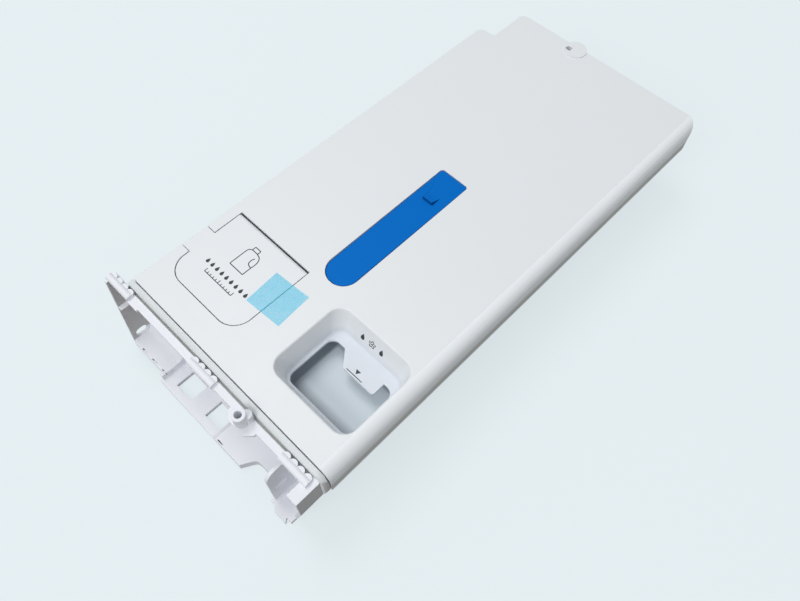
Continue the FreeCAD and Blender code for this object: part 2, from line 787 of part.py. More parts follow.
def make_lid():
    """Lid with the finger tab, the hinge barrel with its pins and the plug rim."""
    lid = new_body("detergent_lid")
    outline = rounded_rectangle(S.lid_left, LID_RIGHT, S.lid_front, HINGE_Y,
                                S.lid_front_radius, S.lid_rear_radius)
    pad(lid, "Sheet", "XY", LID_UNDER, outline, S.lid_sheet, up=True)
    tab_rear = S.lid_tab_front + S.lid_tab_length
    finger_tab = rectangle(S.lid_tab_inset, S.lid_left + S.lid_gap, S.lid_tab_front, tab_rear)
    pad(lid, "FingerTab", "XY", LID_UNDER, finger_tab, S.lid_sheet, up=True)
    pad(lid, "Barrel", "YZ", S.lid_left, circle(HINGE_Y, HINGE_Z, S.barrel_radius), S.lid_width, up=True)
    pin_start = S.lid_left - S.hinge_pin_length
    pin_span = S.lid_width + S.hinge_pin_length * 2
    pad(lid, "HingePins", "YZ", pin_start, circle(HINGE_Y, HINGE_Z, S.hinge_pin_radius), pin_span, up=True)
    inset = S.seal_gap + S.seal_width
    plug_radius = S.filler_radius - inset
    plug = rounded_rectangle(*grown(*FILLER, -inset), plug_radius, plug_radius)
    pad(lid, "Plug", "XY", LID_UNDER, plug, S.plug_depth, up=False)
    bore_radius = plug_radius - S.plug_wall
    bore = rounded_rectangle(*grown(*FILLER, -inset - S.plug_wall), bore_radius, bore_radius)
    pocket(lid, "PlugBore", "XY", LID_UNDER, bore, S.plug_depth, up=False)
    place(lid)


def make_seal():
    """Rubber ring round the plug of the lid."""
    seal = new_body("lid_seal")
    outer_radius = S.filler_radius - S.seal_gap
    outer = rounded_rectangle(*grown(*FILLER, -S.seal_gap), outer_radius, outer_radius)
    pad(seal, "Ring", "XY", LID_UNDER, outer, S.seal_height, up=False)
    inset = S.seal_gap + S.seal_width
    inner_radius = S.filler_radius - inset
    inner = rounded_rectangle(*grown(*FILLER, -inset), inner_radius, inner_radius)
    pocket(seal, "RingBore", "XY", LID_UNDER, inner, S.seal_height, up=False)
    place(seal)


def make_tape():
    """Strip of film that holds the lid to the cover."""
    tape = new_body("transport_tape")
    film = rectangle(-S.tape_overlap, S.tape_length - S.tape_overlap, -S.tape_width / 2, S.tape_width / 2)
    pad(tape, "Film", "XY", ZERO, film, S.tape_thickness, up=True)
    place(tape, LID_RIGHT, S.tape_y, S.tape_lift, Rotation(Vector(0, 0, 1), S.tape_turn.value))


# Release lever

def make_lever():
    """Press lever with a rounded front end, the catch wedge and its pivot pins."""
    lever = new_body("release_lever")
    outline = rounded_rectangle(S.lever_left, LEVER_RIGHT, S.lever_front, LEVER_REAR,
                                S.lever_width / 2 - NEAR, S.lever_rear_radius)
    pad(lever, "Blade", "XY", LEVER_UNDER, outline, S.lever_sheet, up=True)
    front = PIVOT_Y - S.catch_setback
    rear = front + S.catch_length
    root = LEVER_UNDER + S.lever_sheet / 2
    wedge = polygon((front, root), (rear, root), (rear, LEVER_TOP), (front, LEVER_TOP + S.catch_rise))
    pad(lever, "Catch", "YZ", LEVER_MIDDLE - S.catch_width / 2, wedge, S.catch_width, up=True)
    pin_start = S.lever_left - S.lever_pin_length
    pin_span = S.lever_width + S.lever_pin_length * 2
    pad(lever, "PivotPins", "YZ", pin_start, circle(PIVOT_Y, PIVOT_Z, S.lever_pin_radius), pin_span, up=True)
    place(lever)


def coil(label, radius, wire, pitch, length):
    """Compression spring along z, with its wire inside the given length."""
    spring = new_body(label)
    sketch = sketch_on(spring, "Wire", "XZ", ZERO, circle(radius, wire, wire))
    helix = spring.newObject("PartDesign::AdditiveHelix", "Coil")
    helix.Profile = sketch
    helix.ReferenceAxis = (sketch, ["V_Axis"])
    helix.Mode = "pitch-height-angle"
    helix.setExpression("Pitch", pitch.text)
    helix.setExpression("Height", (length - wire * 2).text)
    settle(spring, helix, 0.0, True)
    return spring


def make_lever_spring():
    """Spring between the floor of the trough and the lever."""
    floor = S.spring_end_gap - S.trough_depth
    length = LEVER_UNDER - floor - S.spring_end_gap
    spring = coil("lever_spring", S.lever_spring_radius, S.lever_spring_wire, S.lever_spring_pitch, length)
    place(spring, LEVER_MIDDLE, PIVOT_Y - S.lever_spring_setback, floor)


# Tank

def tank_profile(inset):
    """Side view of the tank: flat rim, sump at the rear, floor rising to the front."""
    front = S.tank_inset + inset
    rear = TANK_REAR - inset
    bottom = -S.overall_drop + inset
    return polygon((front, -S.skirt_depth), (rear, -S.skirt_depth), (rear, bottom),
                   (TANK_REAR - S.sump_length, bottom), (front, -S.tank_front_drop + inset))


def float_lugs(tray, name, centre_x):
    """Pair of lugs on the sump floor that carry a float."""
    gap = S.float_arm_half + S.lug_gap
    lug = polygon((FLOAT_Y - S.lug_half_length, SUMP_FLOOR - S.tank_wall / 2),
                  (FLOAT_Y + S.lug_half_length, SUMP_FLOOR - S.tank_wall / 2),
                  (FLOAT_Y + S.lug_half_length / 2, FLOAT_Z + S.lug_rise),
                  (FLOAT_Y - S.lug_half_length / 2, FLOAT_Z + S.lug_rise))
    for side, start in (("Left", centre_x - gap - S.lug_thickness), ("Right", centre_x + gap)):
        pad(tray, name + "Lug" + side, "YZ", start, lug, S.lug_thickness, up=True)
    hole = circle(FLOAT_Y, FLOAT_Z, S.float_pin_radius + S.pin_clearance)
    span = gap * 2 + S.lug_thickness * 2
    pocket(tray, name + "LugHoles", "YZ", centre_x - gap - S.lug_thickness, hole, span, up=True)


def bottom_edge(x):
    """Test for an edge of the floor, level or sloping to the front, that runs along one side."""
    def test(edge):
        box = edge.BoundBox
        beside = abs(box.XMin - x.value) < NEAR and abs(box.XMax - x.value) < NEAR
        return beside and box.YLength > S.sump_length.value / 2 and box.ZMax < -S.tank_front_drop.value + 5
    return test


def softener_basin(tray, right):
    """Rounded basin under the funnel mouth, with a low port to the tank in its rear wall."""
    floor = -S.basin_floor_drop
    rear = S.basin_front + S.basin_length
    foot = floor - S.basin_floor_thickness
    height = -S.skirt_depth - foot
    block = rectangle(PARTITION_X, right + S.tank_wall / 2, S.basin_front - S.basin_wall, rear + S.basin_wall)
    pad(tray, "BasinBlock", "XY", foot, block, height, up=True)
    bowl = (PARTITION_RIGHT + S.basin_left_wall, right - S.basin_side_wall, S.basin_front, rear)
    hollow = rounded_rectangle(*bowl, S.basin_radius, S.basin_radius)
    pocket(tray, "Basin", "XY", -S.skirt_depth, hollow, -S.skirt_depth - floor, up=False)
    fillet(tray, "BasinBlend", S.basin_blend_radius, level(floor, *bowl))
    middle = (PARTITION_RIGHT + right) / 2
    half = S.basin_port_width / 2
    port = rectangle(middle - half, middle + half, floor, floor + S.basin_port_height)
    start = rear - S.basin_blend_radius
    pocket(tray, "BasinPort", "XZ", start, port, S.basin_blend_radius + S.basin_wall, up=True)


def make_tray():
    """Tank with its rim flange, two compartments, screw bosses, float lugs and outlet holes."""
    tray = new_body("drawer_tray")
    rim = -S.skirt_depth
    pad(tray, "Tank", "YZ", S.tank_inset, tank_profile(ZERO), TANK_RIGHT - S.tank_inset, up=True)
    fillet(tray, "TankEdges", S.tank_edge_radius, bottom_edge(S.tank_inset), bottom_edge(TANK_RIGHT))
    edges = [straight("z", x=x, y=y) for x in (S.tank_inset, TANK_RIGHT) for y in (S.tank_inset, TANK_REAR)]
    fillet(tray, "TankCorners", S.tank_corner_radius, *edges)
    pad(tray, "RimFlange", "XY", rim, drawer_outline(ZERO), S.flange_thickness, up=False)
    rear_step = S.cover_length - S.step_length
    fillet(tray, "RimRearCorner", S.rear_corner_radius, straight("z", x=S.cover_width, y=S.cover_length))
    fillet(tray, "RimStepCorners", S.step_corner_radius, straight("z", x=ZERO, y=rear_step),
           straight("z", x=S.step_width, y=S.cover_length))
    fillet(tray, "RimStepRoot", S.step_root_radius, straight("z", x=S.step_width, y=rear_step))
    left = S.tank_inset + S.tank_wall
    right = TANK_RIGHT - S.tank_wall
    cavity = tank_profile(S.tank_wall)
    pocket(tray, "DetergentTank", "YZ", left, cavity, PARTITION_LEFT - left, up=True)
    pocket(tray, "SoftenerTank", "YZ", PARTITION_RIGHT, cavity, right - PARTITION_RIGHT, up=True)
    inner_radius = S.tank_edge_radius - S.tank_wall / 2
    sides = (left, PARTITION_LEFT, PARTITION_RIGHT, right)
    fillet(tray, "InnerEdges", inner_radius, *[bottom_edge(x) for x in sides])
    softener_basin(tray, right)
    bosses = [(x, -S.screw_drop) for x in SCREW_XS]
    boss_depth = S.tank_inset + S.tank_wall / 2
    pad(tray, "ScrewBosses", "XZ", ZERO, circles(bosses, S.screw_boss_radius), boss_depth, up=True)
    screw_holes = circles(bosses, S.screw_radius + S.screw_clearance)
    pocket(tray, "ScrewHoles", "XZ", ZERO, screw_holes, boss_depth, up=True)
    for name, x in OUTLETS.items():
        float_lugs(tray, name.capitalize(), x)
    outlet_points = [(x, OUTLET_Z) for x in OUTLETS.values()]
    holes = circles(outlet_points, S.neck_radius + S.outlet_fit)
    pocket(tray, "OutletHoles", "XZ", TANK_REAR - S.tank_wall, holes, S.tank_wall, up=True)
    place(tray)


# Outlet valves: each piece is drawn about an upright axis and laid along y, with height zero on
# the outer face of the rear wall of the tank

TO_REAR = Rotation(Vector(1, 0, 0), -90)
NECK_END = -S.tank_wall - S.neck_proud
COLLAR_START = S.washer_thickness
COLLAR_END = COLLAR_START + S.collar_thickness
SPIGOT_END = COLLAR_END + S.spigot_length
VALVE_SEAT = SPIGOT_END - S.seat_thickness
STRAINER_COLLAR_END = NECK_END + S.strainer_collar_length
POPPET_FRONT = VALVE_SEAT - S.poppet_gap
POPPET_BACK = POPPET_FRONT - S.poppet_thickness


def make_valve_body(label, x):
    """Spigot with a collar, a neck through the wall and a stepped bore."""
    body = new_body(label)
    chamfer = S.spigot_chamfer
    revolve(body, "Spigot", polygon(
        (S.chamber_radius, NECK_END), (S.neck_radius, NECK_END), (S.neck_radius, COLLAR_START),
        (S.collar_radius, COLLAR_START), (S.collar_radius, COLLAR_END), (S.spigot_radius, COLLAR_END),
        (S.spigot_radius, SPIGOT_END - chamfer), (S.spigot_radius - chamfer, SPIGOT_END),
        (S.seat_bore_radius, SPIGOT_END), (S.seat_bore_radius, VALVE_SEAT), (S.chamber_radius, VALVE_SEAT)))
    place(body, x, TANK_REAR, OUTLET_Z, TO_REAR)


def make_valve_plunger(label, x):
    """Poppet with the stem that the pump spigot pushes in."""
    plunger = new_body(label)
    tip = SPIGOT_END + S.stem_proud
    revolve(plunger, "Poppet", polygon(
        (ZERO, POPPET_BACK), (S.poppet_radius, POPPET_BACK), (S.poppet_radius, POPPET_FRONT),
        (S.stem_radius, POPPET_FRONT), (S.stem_radius, tip), (ZERO, tip)))
    place(plunger, x, TANK_REAR, OUTLET_Z, TO_REAR)


def make_valve_spring(label, x):
    """Spring between the strainer collar and the poppet."""
    length = POPPET_BACK - STRAINER_COLLAR_END - S.spring_end_gap * 2
    spring = coil(label, S.valve_spring_radius, S.valve_spring_wire, S.valve_spring_pitch, length)
    place(spring, x, TANK_REAR + STRAINER_COLLAR_END + S.spring_end_gap, OUTLET_Z, TO_REAR)


def make_washer(label, x):
    """Flat rubber washer between the tank wall and the collar."""
    washer = new_body(label)
    bore = S.neck_radius + S.outlet_fit
    revolve(washer, "Washer", rectangle(bore, S.collar_radius, ZERO, COLLAR_START))
    place(washer, x, TANK_REAR, OUTLET_Z, TO_REAR)


def make_strainer(label, x):
    """Slotted cup in the tank with the collar that plugs into the valve."""
    strainer = new_body(label)
    cup_end = NECK_END - S.strainer_length
    inner = S.strainer_radius - S.strainer_wall
    collar = S.chamber_radius - S.strainer_fit
    revolve(strainer, "Cup", polygon(
        (ZERO, cup_end), (S.strainer_radius, cup_end), (S.strainer_radius, NECK_END), (collar, NECK_END),
        (collar, STRAINER_COLLAR_END), (S.strainer_bore_radius, STRAINER_COLLAR_END),
        (S.strainer_bore_radius, NECK_END - S.strainer_wall), (inner, NECK_END - S.strainer_wall),
        (inner, cup_end + S.strainer_wall), (ZERO, cup_end + S.strainer_wall)))
    half = S.strainer_slot / 2
    slot = rectangle(-half, half, cup_end + S.strainer_wall * 2, NECK_END - S.strainer_wall * 2)
    cut = pocket(strainer, "Slot", "XZ", ZERO, slot, S.strainer_radius, up=True)
    before = cut.Shape.Volume
    ring = strainer.newObject("PartDesign::PolarPattern", "Slots")
    ring.Originals = [cut]
    ring.Axis = (cut.Profile[0], ["V_Axis"])
    ring.Angle = 360.0
    ring.Occurrences = STRAINER_SLOTS
    settle(strainer, ring, before, False)
    place(strainer, x, TANK_REAR, OUTLET_Z, TO_REAR)


# Level floats

MAGNET_Y = -S.float_reach + S.float_block_length / 2


def make_float(label, x):
    """Float block on an arm with pivot pins, drawn about its pivot."""
    body = new_body(label)
    half_width = S.float_block_width / 2
    half_height = S.float_block_height / 2
    back = -S.float_reach + S.float_block_length
    block = rectangle(-S.float_reach, back, -half_height, half_height)
    pad(body, "Block", "YZ", -half_width, block, S.float_block_width, up=True)
    uprights = [straight("z", x=e, y=y) for e in (-half_width, half_width) for y in (-S.float_reach, back)]
    fillet(body, "BlockCorners", S.float_edge_radius, *uprights)
    half_arm = S.float_arm_height / 2
    arm = rectangle(back, half_arm, -half_arm, half_arm)
    pad(body, "Arm", "YZ", -S.float_arm_half, arm, S.float_arm_half * 2, up=True)
    reach = S.float_arm_half + S.lug_gap + S.lug_thickness
    pad(body, "Pins", "YZ", -reach, circle(ZERO, ZERO, S.float_pin_radius), reach * 2, up=True)
    seat = circle(ZERO, MAGNET_Y, S.magnet_radius + S.magnet_fit)
    pocket(body, "MagnetSeat", "XY", half_height, seat, S.magnet_height, up=False)
    place(body, x, FLOAT_Y, FLOAT_Z)


def make_magnet(label, x):
    """Disc magnet in the top of the float."""
    magnet = new_body(label)
    top = S.float_block_height / 2
    pad(magnet, "Disc", "XY", top, circle(ZERO, MAGNET_Y, S.magnet_radius), S.magnet_height, up=False)
    place(magnet, x, FLOAT_Y, FLOAT_Z)


# Front bracket

RAIL_Z = -S.rail_drop
BRACKET_FLOOR = -S.overall_drop + S.floor_thickness
LEFT_FOOT = S.left_foot_inset - S.bracket_overhang
BRACKET_RIGHT = S.cover_width - S.bracket_right_inset
RIGHT_FOOT = BRACKET_RIGHT - S.right_foot_inset
RIGHT_PLATE_X = S.cover_width - S.right_plate_inset
LEFT_PLATFORM_Z = BRACKET_FLOOR + S.platform_rise
RIGHT_PLATFORM_Z = BRACKET_FLOOR + S.right_platform_rise


def bracket_back(bracket):
    """Back plate that closes the front of the cover, with the rounded bead along its top."""
    lean = S.left_foot_inset * ((S.overall_drop - S.back_left_drop) / (S.overall_drop - S.rail_drop))
    outline = polygon((ZERO, ZERO), (S.cover_width, ZERO), (S.cover_width, -S.back_edge_drop),
                      (BRACKET_RIGHT, -S.right_straight_drop), (RIGHT_FOOT, -S.overall_drop),
                      (LEFT_FOOT, -S.overall_drop), (LEFT_FOOT - lean, -S.back_left_drop), (ZERO, RAIL_Z))
    pad(bracket, "BackPlate", "XZ", ZERO, outline, S.bead_depth, up=False)
    fillet(bracket, "BackRoll", S.roll_radius, straight("y", x=S.cover_width, z=ZERO))
    front = -S.bead_depth
    fillet(bracket, "Bead", S.bead_radius, straight("x", y=front, z=ZERO))
    inner = S.cover_width - S.seam_depth
    seam = polygon((ZERO, ZERO), (S.cover_width, ZERO), (S.cover_width, -S.back_edge_drop),
                   (inner, -S.back_edge_drop), (inner, -S.seam_depth), (ZERO, -S.seam_depth))
    pocket(bracket, "Seam", "XZ", ZERO, seam, S.seam_gap, up=False)


def bracket_rail(bracket):
    """Top rail with the shelf at its right end and the eight-sided tab under the boss."""
    back = -S.bead_depth
    rail = rectangle(-S.bracket_overhang, BRACKET_RIGHT, -S.rail_reach, back)
    pad(bracket, "Rail", "XY", RAIL_Z, rail, S.rail_thickness, up=False)
    step = rectangle(S.rail_step_x, S.rail_step_x + S.rail_step_length, -S.rail_step_reach, back)
    pad(bracket, "RailStep", "XY", RAIL_Z, step, S.rail_thickness, up=False)
    groove = rectangle(ZERO, BRACKET_RIGHT, back - S.rail_groove_width, back)
    pocket(bracket, "RailGroove", "XY", RAIL_Z, groove, S.rail_groove_depth, up=False)
    shelf = rectangle(BRACKET_RIGHT - S.shelf_width, BRACKET_RIGHT, -S.shelf_reach, back)
    pad(bracket, "Shelf", "XY", RAIL_Z, shelf, S.rail_thickness, up=False)
    left = S.boss_x - S.boss_tab_half
    right = S.boss_x + S.boss_tab_half
    slope = S.boss_tab_chamfer
    root = -S.rail_reach + slope
    shoulder = -S.boss_tab_reach + slope
    tab = polygon((left, root), (left, shoulder), (left + slope, -S.boss_tab_reach),
                  (right - slope, -S.boss_tab_reach), (right, shoulder), (right, root))
    pad(bracket, "BossTab", "XY", RAIL_Z, tab, S.rail_thickness, up=False)
    centre = (S.boss_x, -S.boss_reach)
    foot = RAIL_Z - S.rail_thickness
    depth = S.boss_height + S.rail_thickness
    pad(bracket, "Boss", "XY", foot, circle(*centre, S.boss_radius), depth, up=True)
    lobe = circle(S.boss_x + S.boss_rib_offset, -S.boss_rib_reach, S.boss_rib_radius)
    pad(bracket, "BossRib", "XY", foot, lobe, S.boss_rib_height + S.rail_thickness, up=True)
    pocket(bracket, "BossBore", "XY", foot, circle(*centre, S.boss_bore_radius), depth, up=True)


def bracket_floor(bracket):
    """Floor with two windows between the raised platforms, and the notch in its front edge."""
    back = -S.bead_depth
    floor_left = S.left_platform_right - S.bracket_wall
    floor = rectangle(floor_left, RIGHT_FOOT, -S.floor_reach, back)
    pad(bracket, "Floor", "XY", BRACKET_FLOOR, floor, S.floor_thickness, up=False)
    notch_right = RIGHT_FOOT - S.bracket_wall
    lip = polygon((RIGHT_PLATE_X, back), (RIGHT_PLATE_X, -S.right_plate_reach),
                  (RIGHT_PLATE_X + S.lip_corner, -S.lip_reach), (notch_right, -S.lip_reach),
                  (S.lip_notch_left, -S.lip_reach + S.lip_notch_depth), (notch_right, -S.floor_reach),
                  (RIGHT_FOOT, -S.floor_reach), (RIGHT_FOOT, back))
    pad(bracket, "PocketLip", "XY", BRACKET_FLOOR, lip, S.floor_thickness, up=False)
    platform = rectangle(LEFT_FOOT, S.left_platform_right, -S.platform_reach, back)
    pad(bracket, "LeftPlatform", "XY", LEFT_PLATFORM_Z, platform, S.floor_thickness, up=False)
    riser = rectangle(floor_left, S.left_platform_right, -S.riser_reach, back)
    pad(bracket, "PlatformRiser", "XY", -S.overall_drop, riser, LEFT_PLATFORM_Z + S.overall_drop, up=True)
    fillet(bracket, "PlatformFillet", S.platform_fillet, straight("x", y=back, z=LEFT_PLATFORM_Z))
    hump = polygon((S.right_platform_left - S.right_platform_rise, BRACKET_FLOOR),
                   (RIGHT_PLATE_X, BRACKET_FLOOR), (RIGHT_PLATE_X, RIGHT_PLATFORM_Z),
                   (S.right_platform_left, RIGHT_PLATFORM_Z))
    pad(bracket, "RightPlatform", "XZ", back, hump, S.floor_reach - S.bead_depth, up=False)
    slit_front = -S.platform_reach + S.edge_slit_inset
    for i in range(EDGE_SLITS):
        left = S.edge_slit_first_x + S.edge_slit_spacing * i
        slit = rectangle(left, left + S.edge_slit_length, slit_front, slit_front + S.edge_slit_width)
        pocket(bracket, f"EdgeSlit{i}", "XY", LEFT_PLATFORM_Z, slit, S.floor_thickness, up=False)
    slit_front = -S.floor_reach + S.edge_slit_inset
    hump_slit_end = S.hump_slit_x + S.edge_slit_length
    slit = rectangle(S.hump_slit_x, hump_slit_end, slit_front, slit_front + S.edge_slit_width)
    pocket(bracket, "HumpSlit", "XY", RIGHT_PLATFORM_Z, slit, S.right_platform_rise, up=False)
    for i in range(WINDOW_COUNT):
        left = S.window_first_x + S.window_spacing * i
        window = rectangle(left, left + S.window_width, -S.window_reach, -S.window_reach + S.window_length)
        pocket(bracket, f"Window{i}", "XY", BRACKET_FLOOR, window, S.floor_thickness, up=False)
    notch_root = -S.floor_reach + S.notch_depth
    notch_turn = S.notch_left + S.notch_slant
    notch = polygon((S.notch_left, -S.floor_reach), (RIGHT_PLATE_X, -S.floor_reach),
                    (RIGHT_PLATE_X, notch_root), (notch_turn, notch_root))
    through = S.right_platform_rise + S.floor_thickness
    pocket(bracket, "Notch", "XY", RIGHT_PLATFORM_Z, notch, through, up=False)
    fillet(bracket, "NotchCorner", S.notch_radius, straight("z", x=notch_turn, y=notch_root))


def round_slot(y, z):
    """Slot with round ends about a point of an end plate."""
    half = S.slot_height / 2
    front = y - S.slot_length / 2
    return rounded_rectangle(front, front + S.slot_length, z - half, z + half, half - NEAR, half - NEAR)


def left_end(bracket):
    """Leaning end plate with a slanted front edge, a rib and a slot."""
    back = -S.bead_depth
    wall = S.bracket_wall
    section = polygon((-S.bracket_overhang, RAIL_Z), (-S.bracket_overhang + wall, RAIL_Z),
                      (LEFT_FOOT + wall, -S.overall_drop), (LEFT_FOOT, -S.overall_drop))
    plate_depth = S.left_plate_foot_reach - S.bead_depth
    pad(bracket, "LeftPlate", "XZ", back, section, plate_depth, up=False)
    past = S.left_plate_foot_reach + S.left_plate_top_reach
    slant = polygon((-S.left_plate_top_reach, ZERO), (-S.left_plate_foot_reach, -S.overall_drop),
                    (-past, -S.overall_drop), (-past, ZERO))
    pocket(bracket, "LeftSlant", "YZ", -S.bracket_overhang, slant, S.left_foot_inset + wall, up=True)
    fillet(bracket, "LeftFoot", S.left_plate_foot_radius,
           straight("x", y=-S.left_plate_foot_reach, z=-S.overall_drop))
    lean = S.left_foot_inset * ((S.rib_drop - S.rail_drop) / (S.overall_drop - S.rail_drop))
    rib_left = lean - S.bracket_overhang + wall / 2
    rib = rectangle(rib_left, rib_left + S.rib_width, -S.rib_reach, back)
    pad(bracket, "LeftRib", "XY", -S.rib_drop, rib, S.rail_thickness, up=False)
    slot = round_slot(-S.left_slot_reach, -S.left_slot_drop)
    pocket(bracket, "LeftSlot", "YZ", -S.bracket_overhang, slot, S.left_foot_inset + wall, up=True)


def right_end(bracket):
    """Right end wall, upright and then leaning in, and the slotted plate beside the pocket."""
    back = -S.bead_depth
    wall = S.bracket_wall
    bend = -S.right_straight_drop
    bottom = -S.overall_drop
    section = polygon((BRACKET_RIGHT - wall, RAIL_Z), (BRACKET_RIGHT, RAIL_Z), (BRACKET_RIGHT, bend),
                      (RIGHT_FOOT, bottom), (RIGHT_FOOT - wall, bottom), (BRACKET_RIGHT - wall, bend))
    pad(bracket, "RightWall", "XZ", back, section, S.shelf_reach - S.bead_depth, up=False)
    plate = rectangle(-S.right_plate_reach, back, BRACKET_FLOOR, -S.right_plate_drop)
    pad(bracket, "RightPlate", "YZ", RIGHT_PLATE_X, plate, wall, up=True)
    fillet(bracket, "RightPlateCorner", S.right_plate_radius,
           straight("x", y=-S.right_plate_reach, z=-S.right_plate_drop))
    slot = round_slot(-S.right_slot_reach, -S.right_slot_drop)
    pocket(bracket, "RightSlot", "YZ", RIGHT_PLATE_X, slot, wall, up=True)


def hook_bars(bracket):
    """Three round bars for the hooks of the fascia, each with a row of small lugs behind it."""
    bar_z = RAIL_Z + S.bar_rise
    spacing = S.bar_length / LUGS_PER_BAR
    section = circle(-S.bar_reach, bar_z, S.bar_radius)
    right_start = S.cover_width - S.right_bar_inset
    starts = {"Left": -S.bracket_overhang, "Middle": S.middle_bar_x, "Right": right_start}
    for name, left in starts.items():
        pad(bracket, name + "Bar", "YZ", left, section, S.bar_length, up=True)
        row = [(left + spacing / 2 + spacing * i, -S.lug_row_reach) for i in range(LUGS_PER_BAR)]
        pad(bracket, name + "Lugs", "XY", RAIL_Z, circles(row, S.lug_row_radius), S.lug_row_height, up=True)


def make_bracket():
    """Front bracket that carries the fascia."""
    bracket = new_body("front_bracket")
    bracket_back(bracket)
    bracket_rail(bracket)
    bracket_floor(bracket)
    left_end(bracket)
    right_end(bracket)
    hook_bars(bracket)
    holes = circles([(x, -S.screw_drop) for x in SCREW_XS], S.screw_radius + S.screw_clearance)
    pocket(bracket, "ScrewHoles", "XZ", ZERO, holes, S.bead_depth, up=False)
    place(bracket)


def make_screws():
    """Self-tapping screws through the back plate, as one group."""
    screws = []
    for i, x in enumerate(SCREW_XS):
        shank = doc.addObject("Part::Cylinder", f"Shank{i}")
        shank.setExpression("Radius", S.screw_radius.text)
        shank.setExpression("Height", S.screw_length.text)
        head = doc.addObject("Part::Cylinder", f"Head{i}")
        head.setExpression("Radius", S.screw_head_radius.text)
        head.setExpression("Height", S.screw_head_height.text)
        head.setExpression("Placement.Base.z", (-S.screw_head_height).text)
        screw = doc.addObject("Part::Fuse", f"Screw{i}")
        screw.Base = shank
        screw.Tool = head
        screw.Placement = Placement(Vector(), TO_REAR)
        screw.setExpression("Placement.Base.x", x.text)
        screw.setExpression("Placement.Base.y", (-S.bead_depth).text)
        screw.setExpression("Placement.Base.z", (-S.screw_drop).text)
        screws.append(screw)
    group = doc.addObject("Part::Compound", "bracket_screws")
    group.Label = "bracket_screws"
    group.Links = screws
    place(group)


def check_and_write():
    """Make sure that every object and sub-part is sound, then write one file a sub-part."""
    doc.recompute()
    for item in doc.Objects:
        if "Invalid" in item.State or "Error" in item.State:
            raise RuntimeError(f"{item.Label} failed: {item.State}")
    for subpart in SUBPARTS:
        if subpart.Shape.isNull() or not subpart.Shape.isValid():
            raise RuntimeError(f"{subpart.Label} has no valid shape")
    os.makedirs("parts", exist_ok=True)
    for subpart in SUBPARTS:
        subpart.Shape.exportStep(f"parts/{subpart.Label}.step")


make_cover()
make_tray()
make_bracket()
make_screws()
make_lid()
make_seal()
make_tape()
make_lever()
make_lever_spring()
for contents, outlet_x in OUTLETS.items():
    make_valve_body(f"{contents}_valve_body", outlet_x)
    make_valve_plunger(f"{contents}_valve_plunger", outlet_x)
    make_valve_spring(f"{contents}_valve_spring", outlet_x)
    make_washer(f"{contents}_valve_washer", outlet_x)
    make_strainer(f"{contents}_strainer", outlet_x)
    make_float(f"{contents}_float", outlet_x)
    make_magnet(f"{contents}_float_magnet", outlet_x)
check_and_write()
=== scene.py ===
import math

import bmesh
import bpy
import numpy as np
from mathutils import Matrix, Vector

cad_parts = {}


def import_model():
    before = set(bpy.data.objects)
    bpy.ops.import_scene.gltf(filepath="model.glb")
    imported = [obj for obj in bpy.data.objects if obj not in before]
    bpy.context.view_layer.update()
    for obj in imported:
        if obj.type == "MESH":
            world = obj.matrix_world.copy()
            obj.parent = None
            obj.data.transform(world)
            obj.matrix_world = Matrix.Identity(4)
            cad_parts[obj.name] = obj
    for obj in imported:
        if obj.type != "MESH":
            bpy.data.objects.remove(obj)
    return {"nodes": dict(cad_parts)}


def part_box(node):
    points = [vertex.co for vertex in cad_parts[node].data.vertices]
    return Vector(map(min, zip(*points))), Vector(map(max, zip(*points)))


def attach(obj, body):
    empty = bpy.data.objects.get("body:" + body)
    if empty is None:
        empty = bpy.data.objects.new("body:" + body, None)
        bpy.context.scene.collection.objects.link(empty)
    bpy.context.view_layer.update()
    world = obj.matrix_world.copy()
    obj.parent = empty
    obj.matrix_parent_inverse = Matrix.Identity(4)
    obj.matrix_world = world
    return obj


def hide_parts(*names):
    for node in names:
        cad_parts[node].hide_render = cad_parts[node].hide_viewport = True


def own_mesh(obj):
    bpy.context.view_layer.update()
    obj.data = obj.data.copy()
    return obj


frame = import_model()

# Finish of a washing machine's detergent dispenser drawer, in metres, in the frame of the solids.
# +X is to the right seen from the fascia end, +Y runs to the rear and +Z is up.

MM = 0.001
TURN = 2 * math.pi
X, Y, Z = range(3)
UP = np.array((0.0, 0.0, 1.0))
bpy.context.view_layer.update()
COVER_LOW, COVER_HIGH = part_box("top_cover")
LID_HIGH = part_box("detergent_lid")[1]

# Front left corner of the cover's top face, from which places on the drawer are counted in mm
LID_SINK = 0.1 * MM
CORNER = np.array((COVER_LOW.x, COVER_LOW.y, LID_HIGH.z + LID_SINK))

# View of the photograph
FRAME_WIDTH = 800
FOCAL_PIXELS = 694.9
SENSOR = 36.0
CAMERA_PLACE = Vector((0.1826, -0.21135, 0.4220))
CAMERA_AIM = Vector((0.0446, -0.0629, 0.068))
CAMERA_ROLL = math.radians(1.62)

# Light: each share is the part of a white level surface's brightness that the light gives
WORLD_SHARE = 0.45
KEY_SHARE = 0.29
FILL_SHARE = 0.24
SURROUND_TINT = (0.96, 0.985, 1.0, 1.0)
BACKDROP = (0.800, 0.876, 0.905, 1.0)
FLOOR_TONE = (0.16, 0.155, 0.14, 1.0)
FLOOR_GLOW = 0.78
FLOOR_HALF = 6.0
KEY_PLACE = (-0.75, 0.05, 2.1)
KEY_SIZE = 0.9
FILL_PLACE = (0.25, -2.9, 2.7)
FILL_SIZE = 1.8

